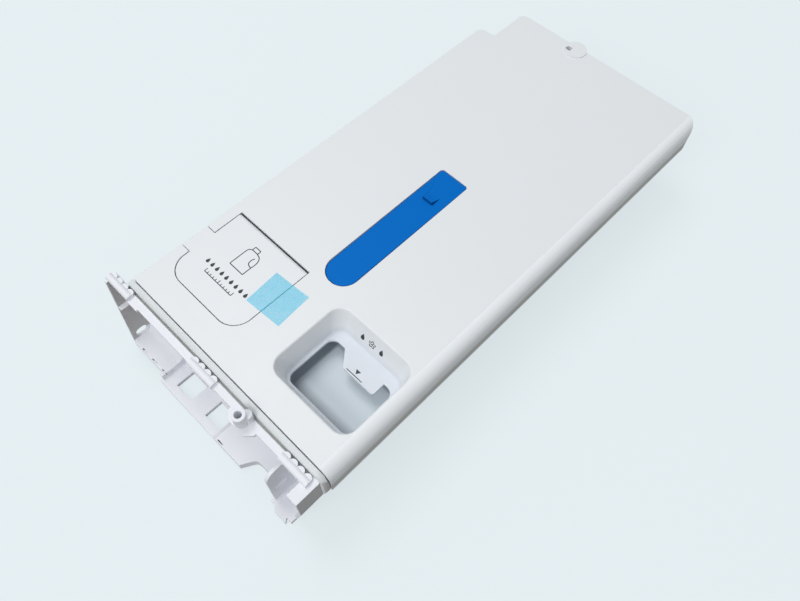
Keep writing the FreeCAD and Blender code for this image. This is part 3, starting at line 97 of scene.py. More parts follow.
# Boxes round the faces that have a finish of their own: lowest and highest places, in mm
# The skirt, seat, hinge, funnel, basin, catch, bead, groove and end boxes pick faces for painted shade,
# and the skirt's also for a painted highlight
SKIRT_BOX = ((162.0, -1.0, -21.0), (173.0, 350.5, -0.02))
SEAT_BOX = ((6.0, 17.0, -2.6), (72.0, 76.2, -0.3))
HINGE_BOX = ((6.0, 76.2, -5.0), (72.0, 77.0, -0.3))
FUNNEL_BOX = ((97.0, 17.0, -17.9), (162.0, 80.0, -0.02))
BASIN_BOX = ((102.5, 20.0, -55.0), (158.5, 72.0, -17.0))
CATCH_FRONT_BOX = ((80.0, 164.7, -0.6), (88.8, 165.4, 3.0))
CATCH_RIGHT_BOX = ((88.1, 164.7, -0.6), (88.8, 173.4, 3.0))
BEAD_BOX = ((-1.0, -4.7, -3.9), (172.0, 0.1, 0.1))
GROOVE_BOX = ((-1.0, -5.9, -5.6), (169.0, -4.3, -4.01))
LEFT_END_BOX = ((-12.5, -20.0, -56.0), (-3.0, -4.4, -4.1))
RIGHT_END_BOX = ((157.0, -21.0, -68.5), (171.5, -0.1, -3.9))

# Which of those faces: the most that their normals rise or fall, and the way they face
ANY_TILT = 1.1
WALL_TILT = 0.5
ANY_WAY = (0.0, 0.0, 0.0)
TO_THE_RIGHT = (1.0, 0.0, 0.0)
RIGHT_AND_UP = (0.7, 0.0, 0.7)

# Printed marks: rise of the ink, widths of its lines in mm, and places in mm from the corner
INK_RISE = 0.02 * MM
INK_LIFT = UP * INK_RISE
BOTTLE_LINE = 0.62
SCALE_LINE = 0.55
FLOWER_LINE = 0.5
CAP_X, CAP_Y = 36.6, 64.1
DROP_XS = np.linspace(21.2, 56.4, 9)
DROP_Y = 39.3
SCALE_XS = np.linspace(25.5, 50.0, 11)
SCALE_Y = 32.9
LONG_TICK = 2.5
SHORT_TICK = 1.5
TICKS_APART = 5
LEDGE_Z = -16.0
LEVEL_XS = np.array((126.6, 139.1))
LEVEL_Y = 53.0
ARROW_XS = np.array((131.0, 134.7, 132.85))
ARROW_YS = np.array((56.9, 56.9, 54.2))
WALL_MARK_Y = 71.65
WALL_MARK_Z = -8.5
WALL_LEAN = 0.3764
WALL_RISE = 0.9265
WALL_UP = np.array((0.0, -WALL_RISE, WALL_LEAN))
WALL_DROP_XS = (121.4, 136.6)
FLOWER_X = 129.0
PETALS = 5
PETAL_REACH = 1.95
PETAL_WAVE = 0.32

# Tape over the lid's right edge, in mm: that edge and the tape's middle, then lengths from them
LID_RIGHT = 70.5
TAPE_Y = 50.8
TAPE_TURN = math.radians(4.0)
TAPE_LEFT = -12.5
TAPE_RIGHT = 14.2
TAPE_HALF = 12.55
TAPE_HEIGHT = 0.09
TAPE_STEP = 0.1
STEP_WIDTH = 0.8
TAPE_THICK = 0.06
WAVE_RISE = 0.02
CURL_X, CURL_WIDTH = 5.0, 9.2
CURL_Y, CURL_LENGTH = 4.0, 8.55
CURL_RISE = 0.8

# Lid seal, in mm: the middle line's sides and corner radius, and the section
SEAL_LEFT, SEAL_RIGHT = 18.2, 60.3
SEAL_FRONT, SEAL_REAR = 28.3, 63.4
SEAL_BEND = 6.8
SEAL_Z = -3.7
SEAL_WIDTH = 1.6
SEAL_HEIGHT = 3.2
SEAL_LIPS = 3
LIP_DEPTH = 0.14

# Outlets with their rings and springs, in mm
OUTLET_XS = {"detergent": 52.0, "softener": 131.0}
OUTLET_Z = -52.0
TANK_REAR = 305.6
RING_REACHES = (17.0, 21.5)
RING_RADIUS = 6.55
RING_WIRE = 0.85
COIL_STEPS = 28

# Bracket screws, in mm, and the turn of each cross in radians
SCREW_XS = (18.0, 62.0, 106.0, 150.0)
SCREW_TWISTS = (0.3, 1.1, 0.7, 0.1)
SCREW_SEAT = -4.4
SCREW_Z = -31.0
HEAD_RADIUS = 3.4
HEAD_RISE = 2.2
CROSS_HALF = 0.7
CROSS_REACH = 1.9
CROSS_DEPTH = 1.3
SHANK_LENGTH = 9.0
SHANK_RADIUS = 1.2
THREAD_PITCH = 1.2
THREAD_RISE = 0.3
POINT_LENGTH = 1.5

# Sewing and rounding of the solids' faces
WELD = 0.002 * MM
FLAT_ANGLE = math.radians(0.4)
SHARP_ANGLE = math.radians(33)
CREASE_ANGLE = math.radians(16)
FOLD_ANGLE = math.radians(40)
ROOM = 2.2
FINE_EDGE = 0.25 * MM
PLAIN_EDGE = 0.3 * MM
BROAD_EDGE = 0.4 * MM


# Shader sockets as numbers

class Socket:
    """A shader socket that takes part in Python arithmetic: each operator adds one Math node."""

    def __init__(self, finish, output):
        self.finish = finish
        self.output = output

    def math(self, operation, *values):
        return self.finish.node("ShaderNodeMath", {"operation": operation}, dict(enumerate(values)))

    def __add__(self, other):
        return self.math("ADD", self, other)

    def __sub__(self, other):
        return self.math("SUBTRACT", self, other)

    def __rsub__(self, other):
        return self.math("SUBTRACT", other, self)

    def __mul__(self, other):
        return self.math("MULTIPLY", self, other)

    __radd__ = __add__
    __rmul__ = __mul__

    def clipped(self):
        """The value held between 0 and 1."""
        return self.finish.node("ShaderNodeClamp", {}, {"Value": self})


class Shading:
    """A node tree with a short way to add nodes."""

    def __init__(self, tree):
        self.tree = tree

    def node(self, kind, settings, sockets, result=0):
        """Adds a node: settings first, then socket values or links. Gives the output asked for."""
        node = self.tree.nodes.new(kind)
        for title, value in settings.items():
            setattr(node, title, value)
        for title, value in sockets.items():
            self.feed(node.inputs[title], value)
        return Socket(self, node.outputs[result])

    def feed(self, socket, value):
        """Links a socket to a value's output, or sets the value itself."""
        if isinstance(value, Socket):
            self.tree.links.new(value.output, socket)
        else:
            socket.default_value = value

    def seen(self):
        """1 for rays that show the stage to the camera, directly or through gloss and clear film."""
        direct = self.node("ShaderNodeLightPath", {}, {}, "Is Camera Ray")
        gloss = self.node("ShaderNodeLightPath", {}, {}, "Is Glossy Ray")
        through = self.node("ShaderNodeLightPath", {}, {}, "Is Transmission Ray")
        return (direct + gloss + through).clipped()


class Finish(Shading):
    """One material, with its Principled shader."""

    def __init__(self, name, **numbers):
        self.material = bpy.data.materials.new(name)
        self.material.use_nodes = True
        super().__init__(self.material.node_tree)
        self.shader = self.tree.nodes["Principled BSDF"]
        self.object_place = self.node("ShaderNodeTexCoord", {}, {}, "Object")
        for title, number in numbers.items():
            self.shader.inputs[title.replace("_", " ")].default_value = number

    def noise(self, size, detail=2.0, roughness=0.5, stretch=None):
        """Cloudy value from 0 to 1 whose spots are about size metres across, drawn out by stretch."""
        place = self.object_place
        if stretch:
            place = self.node("ShaderNodeMapping", {}, {"Vector": place, "Scale": stretch})
        sockets = {"Vector": place, "Scale": 1.0 / size, "Detail": detail, "Roughness": roughness}
        return self.node("ShaderNodeTexNoise", {}, sockets, "Fac")

    def peaks(self, cloud, level, steepness):
        """1 where a cloudy value stands above a level, falling to 0 below it."""
        return ((cloud - level) * steepness).clipped()

    def between(self, factor, low, high):
        """Value that runs from low to high as the factor runs from 0 to 1."""
        return factor * (high - low) + low

    def mix(self, factor, first, second):
        """Colour from first to second as the factor runs from 0 to 1."""
        return self.node("ShaderNodeMix", {"data_type": "RGBA"}, {0: factor, 6: first, 7: second}, 2)

    def bump(self, height, depth, strength):
        """Normal of a surface whose height runs over depth metres."""
        sockets = {"Height": height, "Distance": depth, "Strength": strength}
        return self.node("ShaderNodeBump", {}, sockets, "Normal")

    def set(self, title, value):
        """Feeds one input of the Principled shader."""
        self.feed(self.shader.inputs[title], value)


def shade(colour, factor):
    """The colour made darker or lighter by a factor."""
    return tuple(channel * factor for channel in colour[:3]) + (1.0,)


# Materials

def moulded(name, colour, rough, tone=0.02, grain_depth=0.006 * MM, dust=0.10, gloss=0.5, painted_shade_turnings=()):
    """Moulded plastic: slow tone clouds, a few dust specks, hairline scuffs and the mould's fine grain.
    Each turning paints shade: it gives an axis, two places on it in mm from the corner and a darker
    colour, and the plastic turns to that colour from the first place to the second."""
    finish = Finish(name, IOR=1.49, Specular_IOR_Level=gloss)
    clouds = finish.noise(45 * MM, 3.0)
    plain = finish.mix(clouds, shade(colour, 1 - tone), shade(colour, 1 + tone))
    # Painted shade: each turning darkens the plain colour along its axis
    for axis, first, second, other in painted_shade_turnings:
        place = finish.node("ShaderNodeSeparateXYZ", {}, {"Vector": finish.object_place}, "XYZ"[axis])
        share = (place - (CORNER[axis] + first * MM)) * (1 / ((second - first) * MM))
        plain = finish.mix(share.clipped(), plain, shade(other, 1.0))
    specks = finish.peaks(finish.noise(1.1 * MM, 1.0), level=0.74, steepness=9.0) * dust
    finish.set("Base Color", finish.mix(specks, plain, shade(colour, 0.72)))
    hairlines = finish.noise(2.4 * MM, 2.0, stretch=(0.06, 1.0, 1.0))
    scuffs = finish.peaks(hairlines, level=0.66, steepness=7.0)
    patches = finish.noise(14 * MM, 4.0, 0.6)
    finish.set("Roughness", finish.between(patches, rough - 0.05, rough + 0.05) + 0.07 * scuffs)
    fine = finish.noise(0.35 * MM, 2.0)
    flow = finish.noise(60 * MM, 1.0)
    finish.set("Normal", finish.bump(fine + 0.8 * flow, grain_depth, strength=0.35))
    return finish.material


def worn_and_highlighted(name, colour, rough):
    """Rounded edge of a moulding, worn a little smoother than its faces, and lighter as a painted
    highlight.
    """
    finish = Finish(name, IOR=1.49)
    rub_and_highlight = finish.noise(6 * MM, 3.0, 0.6)
    finish.set("Base Color", finish.mix(rub_and_highlight, shade(colour, 0.98), shade(colour, 1.05)))
    finish.set("Roughness", finish.between(rub_and_highlight, rough - 0.14, rough + 0.02))
    return finish.material


def film(name, colour, cover):
    """Clear tape: tinted film with soft ripples and small bubbles where it has not bedded down."""
    finish = Finish(name, IOR=1.46, Specular_IOR_Level=0.4)
    clouds = finish.noise(9 * MM, 3.0)
    bubbles = finish.peaks(finish.noise(1.6 * MM, 1.0), level=0.66, steepness=8.0)
    finish.set("Base Color", finish.mix(clouds, shade(colour, 0.97), shade(colour, 1.03)))
    finish.set("Alpha", finish.between(clouds, cover - 0.03, cover + 0.03) - 0.06 * bubbles)
    finish.set("Roughness", finish.between(clouds, 0.22, 0.34))
    ripples = finish.noise(3.5 * MM, 2.0)
    finish.set("Normal", finish.bump(ripples + bubbles, 0.02 * MM, strength=0.3))
    return finish.material


def rubber(name, colour):
    """Matt rubber with a dusty bloom."""
    finish = Finish(name, IOR=1.5)
    bloom = finish.noise(2.5 * MM, 4.0, 0.65)
    finish.set("Base Color", finish.mix(bloom, shade(colour, 0.8), shade(colour, 1.3)))
    finish.set("Roughness", finish.between(bloom, 0.62, 0.82))
    finish.set("Normal", finish.bump(finish.noise(0.25 * MM), 0.01 * MM, strength=0.4))
    return finish.material


def steel(name, colour, rough):
    """Drawn or plated steel with fine scratches and patchy gloss."""
    finish = Finish(name, Metallic=1.0)
    lines = finish.noise(0.4 * MM, 2.0, stretch=(1.0, 1.0, 9.0))
    clouds = finish.noise(3 * MM, 3.0)
    finish.set("Base Color", finish.mix(clouds, shade(colour, 0.88), shade(colour, 1.05)))
    finish.set("Roughness", finish.between(lines, rough - 0.08, rough + 0.1))
    finish.set("Normal", finish.bump(lines, 0.004 * MM, strength=0.35))
    return finish.material


def ink(name, colour):
    """Pad-printed ink: matt, with thin spots where it took less well."""
    finish = Finish(name, IOR=1.45)
    spots = finish.noise(0.7 * MM, 3.0)
    finish.set("Base Color", finish.mix(spots, shade(colour, 0.85), shade(colour, 1.35)))
    finish.set("Roughness", finish.between(spots, 0.45, 0.6))
    return finish.material


WHITE = (0.800, 0.826, 0.848)
# Painted shade: the funnel's ledge, coloured darker and bluer than the cover's white
LEDGE_PAINTED_SHADE = (0.690, 0.728, 0.785)
# Painted shade: the dark brownish band low on the cover's right skirt
SKIRT_PAINTED_SHADE = (0.440, 0.430, 0.400)
LID_TONE = (0.800, 0.826, 0.850)
BRACKET_TONE = (0.850, 0.864, 0.910)
# Painted shade: the bead along the bracket's top, a greyer copy of the white plastic
BEAD_SHADE_TONE = (0.71, 0.745, 0.755)
TANK_TONE = (0.735, 0.760, 0.785)
# Basin under the softener funnel: a lighter, bluer colour than the tank, and the two painted shade
# colours for its sides
BASIN_TONE = (0.785, 0.860, 0.915)
BASIN_HALF_SHADE = (0.400, 0.440, 0.490)
BASIN_SHADE = (0.270, 0.305, 0.350)
BLUE = (0.0, 0.152, 0.570)
COVER_WHITE = moulded("cover_white_plastic", WHITE, 0.40, tone=0.010)
# Funnel faces: cover white with painted shade, darkening to the ledge colour from 11 to 16 mm below the
# top
FUNNEL_PAINTED_SHADE = moulded("funnel_painted_shade_finish", WHITE, 0.40, tone=0.010,
                       painted_shade_turnings=((Z, -11.0, -16.0, LEDGE_PAINTED_SHADE),))
COVER_EDGE = worn_and_highlighted("cover_edge_painted_highlight", WHITE, 0.40)
# Right skirt: painted highlight, the white made 9% lighter on the roll, turning to painted shade from
# 9.5 to 15.5 mm below the top
SKIRT_PAINTED_LIGHT_AND_SHADE = moulded("skirt_painted_light_and_shade_finish", shade(WHITE, 1.09), 0.40, tone=0.010, gloss=0.3,
                      painted_shade_turnings=((Z, -9.5, -15.5, SKIRT_PAINTED_SHADE),))
# Walls of the lid's seat: painted shade, near black, that draws the gap round the lid
SEAT_PAINTED_SHADE = rubber("seat_painted_shade_finish", (0.17, 0.17, 0.17))
# Rear wall of the lid's seat at the hinge: painted shade, turning near black from 1.6 to 2 mm below the
# top
HINGE_PAINTED_SHADE = moulded("hinge_painted_shade_finish", WHITE, 0.45, painted_shade_turnings=((Z, -1.6, -2.0, (0.14, 0.14, 0.14)),))
LID_WHITE = moulded("lid_white_plastic", LID_TONE, 0.38, tone=0.010)
LID_EDGE = worn_and_highlighted("lid_edge_painted_highlight", LID_TONE, 0.38)
BRACKET_WHITE = moulded("bracket_white_plastic", BRACKET_TONE, 0.50, tone=0.015, gloss=0.25)
BRACKET_EDGE = worn_and_highlighted("bracket_edge_painted_highlight", BRACKET_TONE, 0.46)
# Bead faces: painted shade in the greyer bead colour
BEAD_PAINTED_SHADE = moulded("bead_painted_shade_finish", BEAD_SHADE_TONE, 0.42, tone=0.02)
# Groove in the bracket's top rail: painted shade, a dark grey
GROOVE_PAINTED_SHADE = rubber("groove_painted_shade_finish", (0.48, 0.48, 0.47))
# Faces of the bracket's ends that look to the right: painted shade, a dark grey copy of the bracket's
# white
END_PAINTED_SHADE = moulded("end_painted_shade_finish", (0.500, 0.490, 0.490), 0.50, tone=0.03, gloss=0.25)
TANK_WHITE = moulded("tank_white_plastic", TANK_TONE, 0.5, tone=0.02)
TANK_EDGE = worn_and_highlighted("tank_edge_painted_highlight", TANK_TONE, 0.5)
# Basin faces: painted shade, darker towards the front from y 34 to 28, the rear from 62.5 to 66 and the
# left from x 107.4 to 105.6
BASIN_PAINTED_SHADE = moulded("basin_painted_shade_finish", BASIN_TONE, 0.5, gloss=0.3,
                      painted_shade_turnings=((Y, 34.0, 28.0, BASIN_HALF_SHADE), (Y, 62.5, 66.0, BASIN_SHADE),
                                (X, 107.4, 105.6, BASIN_SHADE)))
LEVER_BLUE = moulded("lever_blue_plastic", BLUE, 0.45, tone=0.02, dust=0.04, gloss=0.06)
# Front and right faces of the lever's catch: painted shade, the lever's blue at 55%
CATCH_PAINTED_SHADE = moulded("catch_painted_shade_finish", shade(BLUE, 0.55), 0.45, tone=0.02, dust=0.04, gloss=0.06)
# Lever edges: painted highlight, a lighter blue than the lever's faces
LEVER_EDGE = worn_and_highlighted("lever_edge_painted_highlight", (0.004, 0.17, 0.60), 0.36)
PLUNGER_BLUE = moulded("plunger_blue_plastic", (0.02, 0.16, 0.5), 0.4)
VALVE_GREY = moulded("valve_grey_plastic", (0.42, 0.44, 0.47), 0.45)
# Valve and float edge finishes: painted highlights, a little lighter than their faces
VALVE_EDGE = worn_and_highlighted("valve_edge_painted_highlight", (0.46, 0.48, 0.51), 0.45)
FLOAT_WHITE = moulded("float_white_plastic", (0.7, 0.72, 0.74), 0.5)
FLOAT_EDGE = worn_and_highlighted("float_edge_painted_highlight", (0.72, 0.74, 0.76), 0.5)
TAPE_FILM = film("tape_blue_film", (0.075, 0.745, 1.0), 0.25)
SEAL_RUBBER = rubber("seal_grey_rubber", (0.12, 0.125, 0.13))
SPRING_STEEL = steel("spring_wire_steel", (0.62, 0.62, 0.61), 0.28)
SCREW_STEEL = steel("screw_zinc_steel", (0.66, 0.66, 0.63), 0.34)
MAGNET_DARK = moulded("magnet_dark_coat", (0.035, 0.035, 0.04), 0.35)
PRINT_INK = ink("print_grey_ink", (0.035, 0.040, 0.046))


# Surfaces

def at(x, y, z):
    """Points at the given mm to the right of, behind and above the cover's front left corner."""
    return np.stack(np.broadcast_arrays(x, y, z), -1) * MM + CORNER


def grid_faces(rows, columns, round_rows=False, round_columns=True):
    """Quads between the neighbours of a grid of points, joined round where it closes on itself."""
    row = np.arange(rows if round_rows else rows - 1)
    column = np.arange(columns if round_columns else columns - 1)
    row, column = np.meshgrid(row, column, indexing="ij")
    next_row = (row + 1) % rows * columns
    next_column = (column + 1) % columns
    row = row * columns
    quads = (row + column, next_row + column, next_row + next_column, row + next_column)
    return np.stack(quads, -1).reshape(-1, 4).tolist()


def carried(path, profile, up, closed=False):
    """A profile carried along a path. A point of it is the path's point plus the profile's first
    number along the side, square to path and up, plus its second along the line square to both."""
    ways = np.roll(path, -1, 0) - np.roll(path, 1, 0) if closed else np.gradient(path, axis=0)
    ways = ways / np.linalg.norm(ways, axis=1, keepdims=True)
    side = np.cross(ways, up)
    side = side / np.linalg.norm(side, axis=1, keepdims=True)
    top = np.cross(side, ways)
    points = path[:, None] + profile[None, :, :1] * side[:, None] + profile[None, :, 1:] * top[:, None]
    rows, columns = points.shape[:2]
    faces = grid_faces(rows, columns, closed)
    if not closed:
        faces += [list(range(columns)), list(range((rows - 1) * columns, rows * columns))]
    return points.reshape(-1, 3), faces


def raised(outline, rise):
    """A flat outline made a thin plate: one ring of points below and one above, and both filled."""
    columns = len(outline)
    points = np.concatenate((outline - rise, outline + rise))
    faces = grid_faces(2, columns) + [list(range(columns)), list(range(columns, 2 * columns))]
    return points, faces


def together(parts):
    """Several sets of points and faces as one."""
    starts = np.cumsum([0] + [len(points) for points, _ in parts])
    faces = [[start + index for index in face]
             for start, (_, part) in zip(starts, parts)
             for face in part]
    return np.concatenate([points for points, _ in parts]), faces


def as_mesh(name, points, faces):
    """A mesh of the points and faces, sewn where points meet, with its faces turned outwards."""
    mesh = bpy.data.meshes.new(name)
    mesh.from_pydata(points.tolist(), [], faces)
    sewing = bmesh.new()
    sewing.from_mesh(mesh)
    bmesh.ops.remove_doubles(sewing, verts=sewing.verts, dist=WELD)
    bmesh.ops.recalc_face_normals(sewing, faces=sewing.faces)
    sewing.to_mesh(mesh)
    sewing.free()
    mesh.shade_smooth()
    mesh.set_sharp_from_angle(angle=FOLD_ANGLE)
    return mesh


# Pieces

def show(name, mesh, materials, body, slot, *nodes):
    """A mesh as a piece that rides on a body and stands for the nodes."""
    piece = bpy.data.objects.new(name, mesh)
    bpy.context.scene.collection.objects.link(piece)
    mesh.materials.clear()
    for material in materials:
        mesh.materials.append(material)
    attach(piece, body)
    if nodes:
        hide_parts(*nodes)
    return piece


def room_beside(edge):
    """Room at an edge: the least of its length and the widths of its faces, each the face's area over
    its longest side."""
    widths = [face.calc_area() / max(side.calc_length() for side in face.edges)
              for face in edge.link_faces]
    return min([edge.calc_length()] + widths)


def sewn_copy(node, radius):
    """The faces of a solid sewn together, the triangles of each flat face joined again. Each sharp edge
    with room on both sides is rounded, and any fold that is left in the result stays a crease."""
    mesh = frame["nodes"][node].data.copy()
    mesh.attributes.remove(mesh.attributes["custom_normal"])
    sewing = bmesh.new()
    sewing.from_mesh(mesh)
    bmesh.ops.remove_doubles(sewing, verts=sewing.verts, dist=WELD)
    bmesh.ops.dissolve_limit(sewing, angle_limit=FLAT_ANGLE, verts=sewing.verts, edges=sewing.edges)
    for face in sewing.faces:
        face.material_index = 0
        face.smooth = True
    sharp = [edge for edge in sewing.edges if edge.calc_face_angle(0.0) > SHARP_ANGLE]
    roomy = [edge for edge in sharp if room_beside(edge) > ROOM * radius]
    bmesh.ops.bevel(sewing, geom=roomy, offset=radius, offset_type="OFFSET", segments=2, profile=0.5,
                    affect="EDGES", clamp_overlap=False, material=1, miter_outer="ARC")
    for edge in sewing.edges:
        edge.smooth = edge.calc_face_angle(0.0) < CREASE_ANGLE
    sewing.to_mesh(mesh)
    sewing.free()
    return mesh


def softened(node, name, materials, body, slot, radius):
    """A moulded piece: the solid's own form with its edges rounded, worn smoother and lightened as a
    painted highlight.
    Its large faces keep their own normals."""
    piece = show(name, sewn_copy(node, radius), materials, body, slot, node)
    weights = piece.modifiers.new("normals", "WEIGHTED_NORMAL")
    weights.weight = 100
    weights.keep_sharp = True
    return piece


def finish_inside(piece, box, material, tilt=ANY_TILT, facing=ANY_WAY):
    """Gives the faces whose middles lie in a box another of the piece's finishes, where their normals
    rise or fall by less than the tilt and lie within 60 degrees of the facing."""
    mesh = piece.data
    low, high = box
    middles = np.empty(len(mesh.polygons) * 3)
    mesh.polygons.foreach_get("center", middles)
    middles = (middles.reshape(-1, 3) - CORNER) / MM
    normals = np.empty(len(mesh.polygons) * 3)
    mesh.polygons.foreach_get("normal", normals)
    normals = normals.reshape(-1, 3)
    inside = np.all((middles > low) & (middles < high), axis=1)
    inside &= np.abs(normals[:, Z]) < tilt
    inside &= normals @ np.array(facing) >= np.dot(facing, facing) / 2
    finishes = np.empty(len(mesh.polygons), dtype=np.int32)
    mesh.polygons.foreach_get("material_index", finishes)
    index = list(mesh.materials).index(material)
    mesh.polygons.foreach_set("material_index", np.where(inside, index, finishes))


COVER_FINISHES = (COVER_WHITE, COVER_EDGE, SKIRT_PAINTED_LIGHT_AND_SHADE, SEAT_PAINTED_SHADE, HINGE_PAINTED_SHADE, FUNNEL_PAINTED_SHADE)
cover = softened("top_cover", "cover_shell", COVER_FINISHES, "drawer", "cover_white", PLAIN_EDGE)
finish_inside(cover, SKIRT_BOX, SKIRT_PAINTED_LIGHT_AND_SHADE, facing=RIGHT_AND_UP)
finish_inside(cover, SEAT_BOX, SEAT_PAINTED_SHADE, WALL_TILT)
finish_inside(cover, HINGE_BOX, HINGE_PAINTED_SHADE, WALL_TILT)
finish_inside(cover, FUNNEL_BOX, FUNNEL_PAINTED_SHADE)

TANK_FINISHES = (TANK_WHITE, TANK_EDGE, BASIN_PAINTED_SHADE)
tank = softened("drawer_tray", "tank_moulding", TANK_FINISHES, "drawer", "tank_white", BROAD_EDGE)
finish_inside(tank, BASIN_BOX, BASIN_PAINTED_SHADE)

softened("detergent_lid", "filler_lid", (LID_WHITE, LID_EDGE), "lid", "lid_white", FINE_EDGE)

LEVER_FINISHES = (LEVER_BLUE, LEVER_EDGE, CATCH_PAINTED_SHADE)
lever = softened("release_lever", "press_lever", LEVER_FINISHES, "lever", "lever_blue", PLAIN_EDGE)
finish_inside(lever, CATCH_FRONT_BOX, CATCH_PAINTED_SHADE)
finish_inside(lever, CATCH_RIGHT_BOX, CATCH_PAINTED_SHADE)

BRACKET_FINISHES = (BRACKET_WHITE, BRACKET_EDGE, BEAD_PAINTED_SHADE, GROOVE_PAINTED_SHADE, END_PAINTED_SHADE)
bracket = softened("front_bracket", "bracket_moulding", BRACKET_FINISHES, "drawer", "bracket_white",
                   FINE_EDGE)
finish_inside(bracket, BEAD_BOX, BEAD_PAINTED_SHADE)
finish_inside(bracket, GROOVE_BOX, GROOVE_PAINTED_SHADE)
finish_inside(bracket, LEFT_END_BOX, END_PAINTED_SHADE, facing=TO_THE_RIGHT)
finish_inside(bracket, RIGHT_END_BOX, END_PAINTED_SHADE, facing=TO_THE_RIGHT)

for contents in OUTLET_XS:
    softened(f"{contents}_valve_body", f"{contents}_outlet_body", (VALVE_GREY, VALVE_EDGE),
             "drawer", "valve_grey", FINE_EDGE)
    softened(f"{contents}_float", f"{contents}_level_float", (FLOAT_WHITE, FLOAT_EDGE),
             f"{contents}_level", "float_white", BROAD_EDGE)

NODE_FINISHES = {
    "_valve_plunger": PLUNGER_BLUE,
    "_valve_washer": SEAL_RUBBER,
    "_strainer": VALVE_GREY,
    "_float_magnet": MAGNET_DARK,
}
for node_name, node_object in frame["nodes"].items():
    for ending, material in NODE_FINISHES.items():
        if node_name.endswith(ending):
            node_object.data.materials.clear()
            node_object.data.materials.append(material)


# Printed marks

def stroke(points, width, up=UP, closed=False):
    """Printed line: a flat bar of a width in mm carried along the points."""
    half = width / 2 * MM
    bar = np.array(((-half, -INK_RISE), (half, -INK_RISE), (half, INK_RISE), (-half, INK_RISE)))
    return carried(points, bar, up, closed)


def box_curve(width, height, power, count=72):
    """Outline between an ellipse and a box: each of cosine and sine raised to 2 over the power."""
    turn = np.linspace(0, TURN, count, endpoint=False)
    cosine, sine = np.cos(turn), np.sin(turn)
    x = width / 2 * np.sign(cosine) * np.abs(cosine) ** (2 / power)
    y = height / 2 * np.sign(sine) * np.abs(sine) ** (2 / power)
    return x, y


def drop_curve(width, height, count=40):
    """Drop with its tip up: x is sine times sine of half the turn, y is the cosine."""
    turn = np.linspace(0, TURN, count, endpoint=False)
    return 0.65 * width * np.sin(turn) * np.sin(turn / 2) ** 1.4, height / 2 * np.cos(turn)


def on_lid(x, y):
    """Points on the lid's top face."""
    return at(x, y, -LID_SINK / MM)


def on_ledge(x, y):
    """Points on the funnel's ledge and its tongue."""
    return at(x, y, LEDGE_Z)


def on_rear_wall(x, climb):
    """Points on the funnel's sloping rear wall, a climb in mm up the wall from its marks' height."""
    return at(x, WALL_MARK_Y + climb * WALL_LEAN, WALL_MARK_Z + climb * WALL_RISE)


def eased(*corners):
    """A line whose corners are cut at a quarter of their sides, three times over."""
    line = np.array(corners)
    for _ in range(3):
        cuts = np.stack((0.75 * line[:-1] + 0.25 * line[1:], 0.25 * line[:-1] + 0.75 * line[1:]), 1)
        line = np.concatenate((line[:1], cuts.reshape(-1, 2), line[-1:]))
    return line.T


def lid_marks():
    """Bottle with a cap and a grip, over a row of drops and a scale of ticks."""
    left = eased((34.4, 62.7), (32.0, 61.6), (32.0, 55.6), (32.0, 47.6), (32.0, 47.0), (32.6, 47.0),
                 (43.1, 47.0), (43.7, 47.0), (43.7, 47.6), (43.7, 53.4))
    right = eased((38.9, 62.7), (42.2, 61.8), (44.0, 58.4), (43.7, 53.4))
    grip = eased((40.5, 59.5), (39.6, 57.6), (40.0, 54.2), (43.7, 53.4))
    lines = [stroke(on_lid(*line), BOTTLE_LINE) for line in (left, right, grip)]
    x, y = box_curve(width=4.8, height=2.7, power=9.0)
    lines.append(stroke(on_lid(CAP_X + x, CAP_Y + y), BOTTLE_LINE, closed=True))
    x, y = drop_curve(width=2.5, height=3.6)
    drops = [raised(on_lid(place + x, DROP_Y + y), INK_LIFT) for place in DROP_XS]
    lines.append(stroke(on_lid(SCALE_XS[[0, -1]], np.full(2, SCALE_Y)), SCALE_LINE))
    for number, place in enumerate(SCALE_XS):
        rise = SHORT_TICK if number % TICKS_APART else LONG_TICK
        tick = on_lid(np.full(2, place), np.array((SCALE_Y, SCALE_Y + rise)))
        lines.append(stroke(tick, SCALE_LINE))
    return together(lines + drops)


def funnel_marks():
    """Level line and arrow on the tongue, and a flower between two drops on the rear wall."""
    line = stroke(on_ledge(LEVEL_XS, np.full(2, LEVEL_Y)), SCALE_LINE)
    arrow = raised(on_ledge(ARROW_XS, ARROW_YS), INK_LIFT)
    turn = np.linspace(0, TURN, 80, endpoint=False)
    petal = PETAL_REACH * (1 + PETAL_WAVE * np.cos(PETALS * turn))
    outline = on_rear_wall(FLOWER_X + petal * np.sin(turn), petal * np.cos(turn))
    flower = stroke(outline, FLOWER_LINE, WALL_UP, closed=True)
    x, y = box_curve(width=1.3, height=1.3, power=2.0, count=24)
    eye = raised(on_rear_wall(FLOWER_X + x, y), WALL_UP * INK_RISE)
    x, y = drop_curve(width=3.1, height=4.8)
    drops = [raised(on_rear_wall(place + x, y), WALL_UP * INK_RISE) for place in WALL_DROP_XS]
    return together([line, arrow, flower, eye] + drops)


show("lid_print", as_mesh("lid_print", *lid_marks()), (PRINT_INK,), "lid", "lid_white")
show("funnel_print", as_mesh("funnel_print", *funnel_marks()), (PRINT_INK,), "drawer", "cover_white")


# Tape, springs, seals and screws

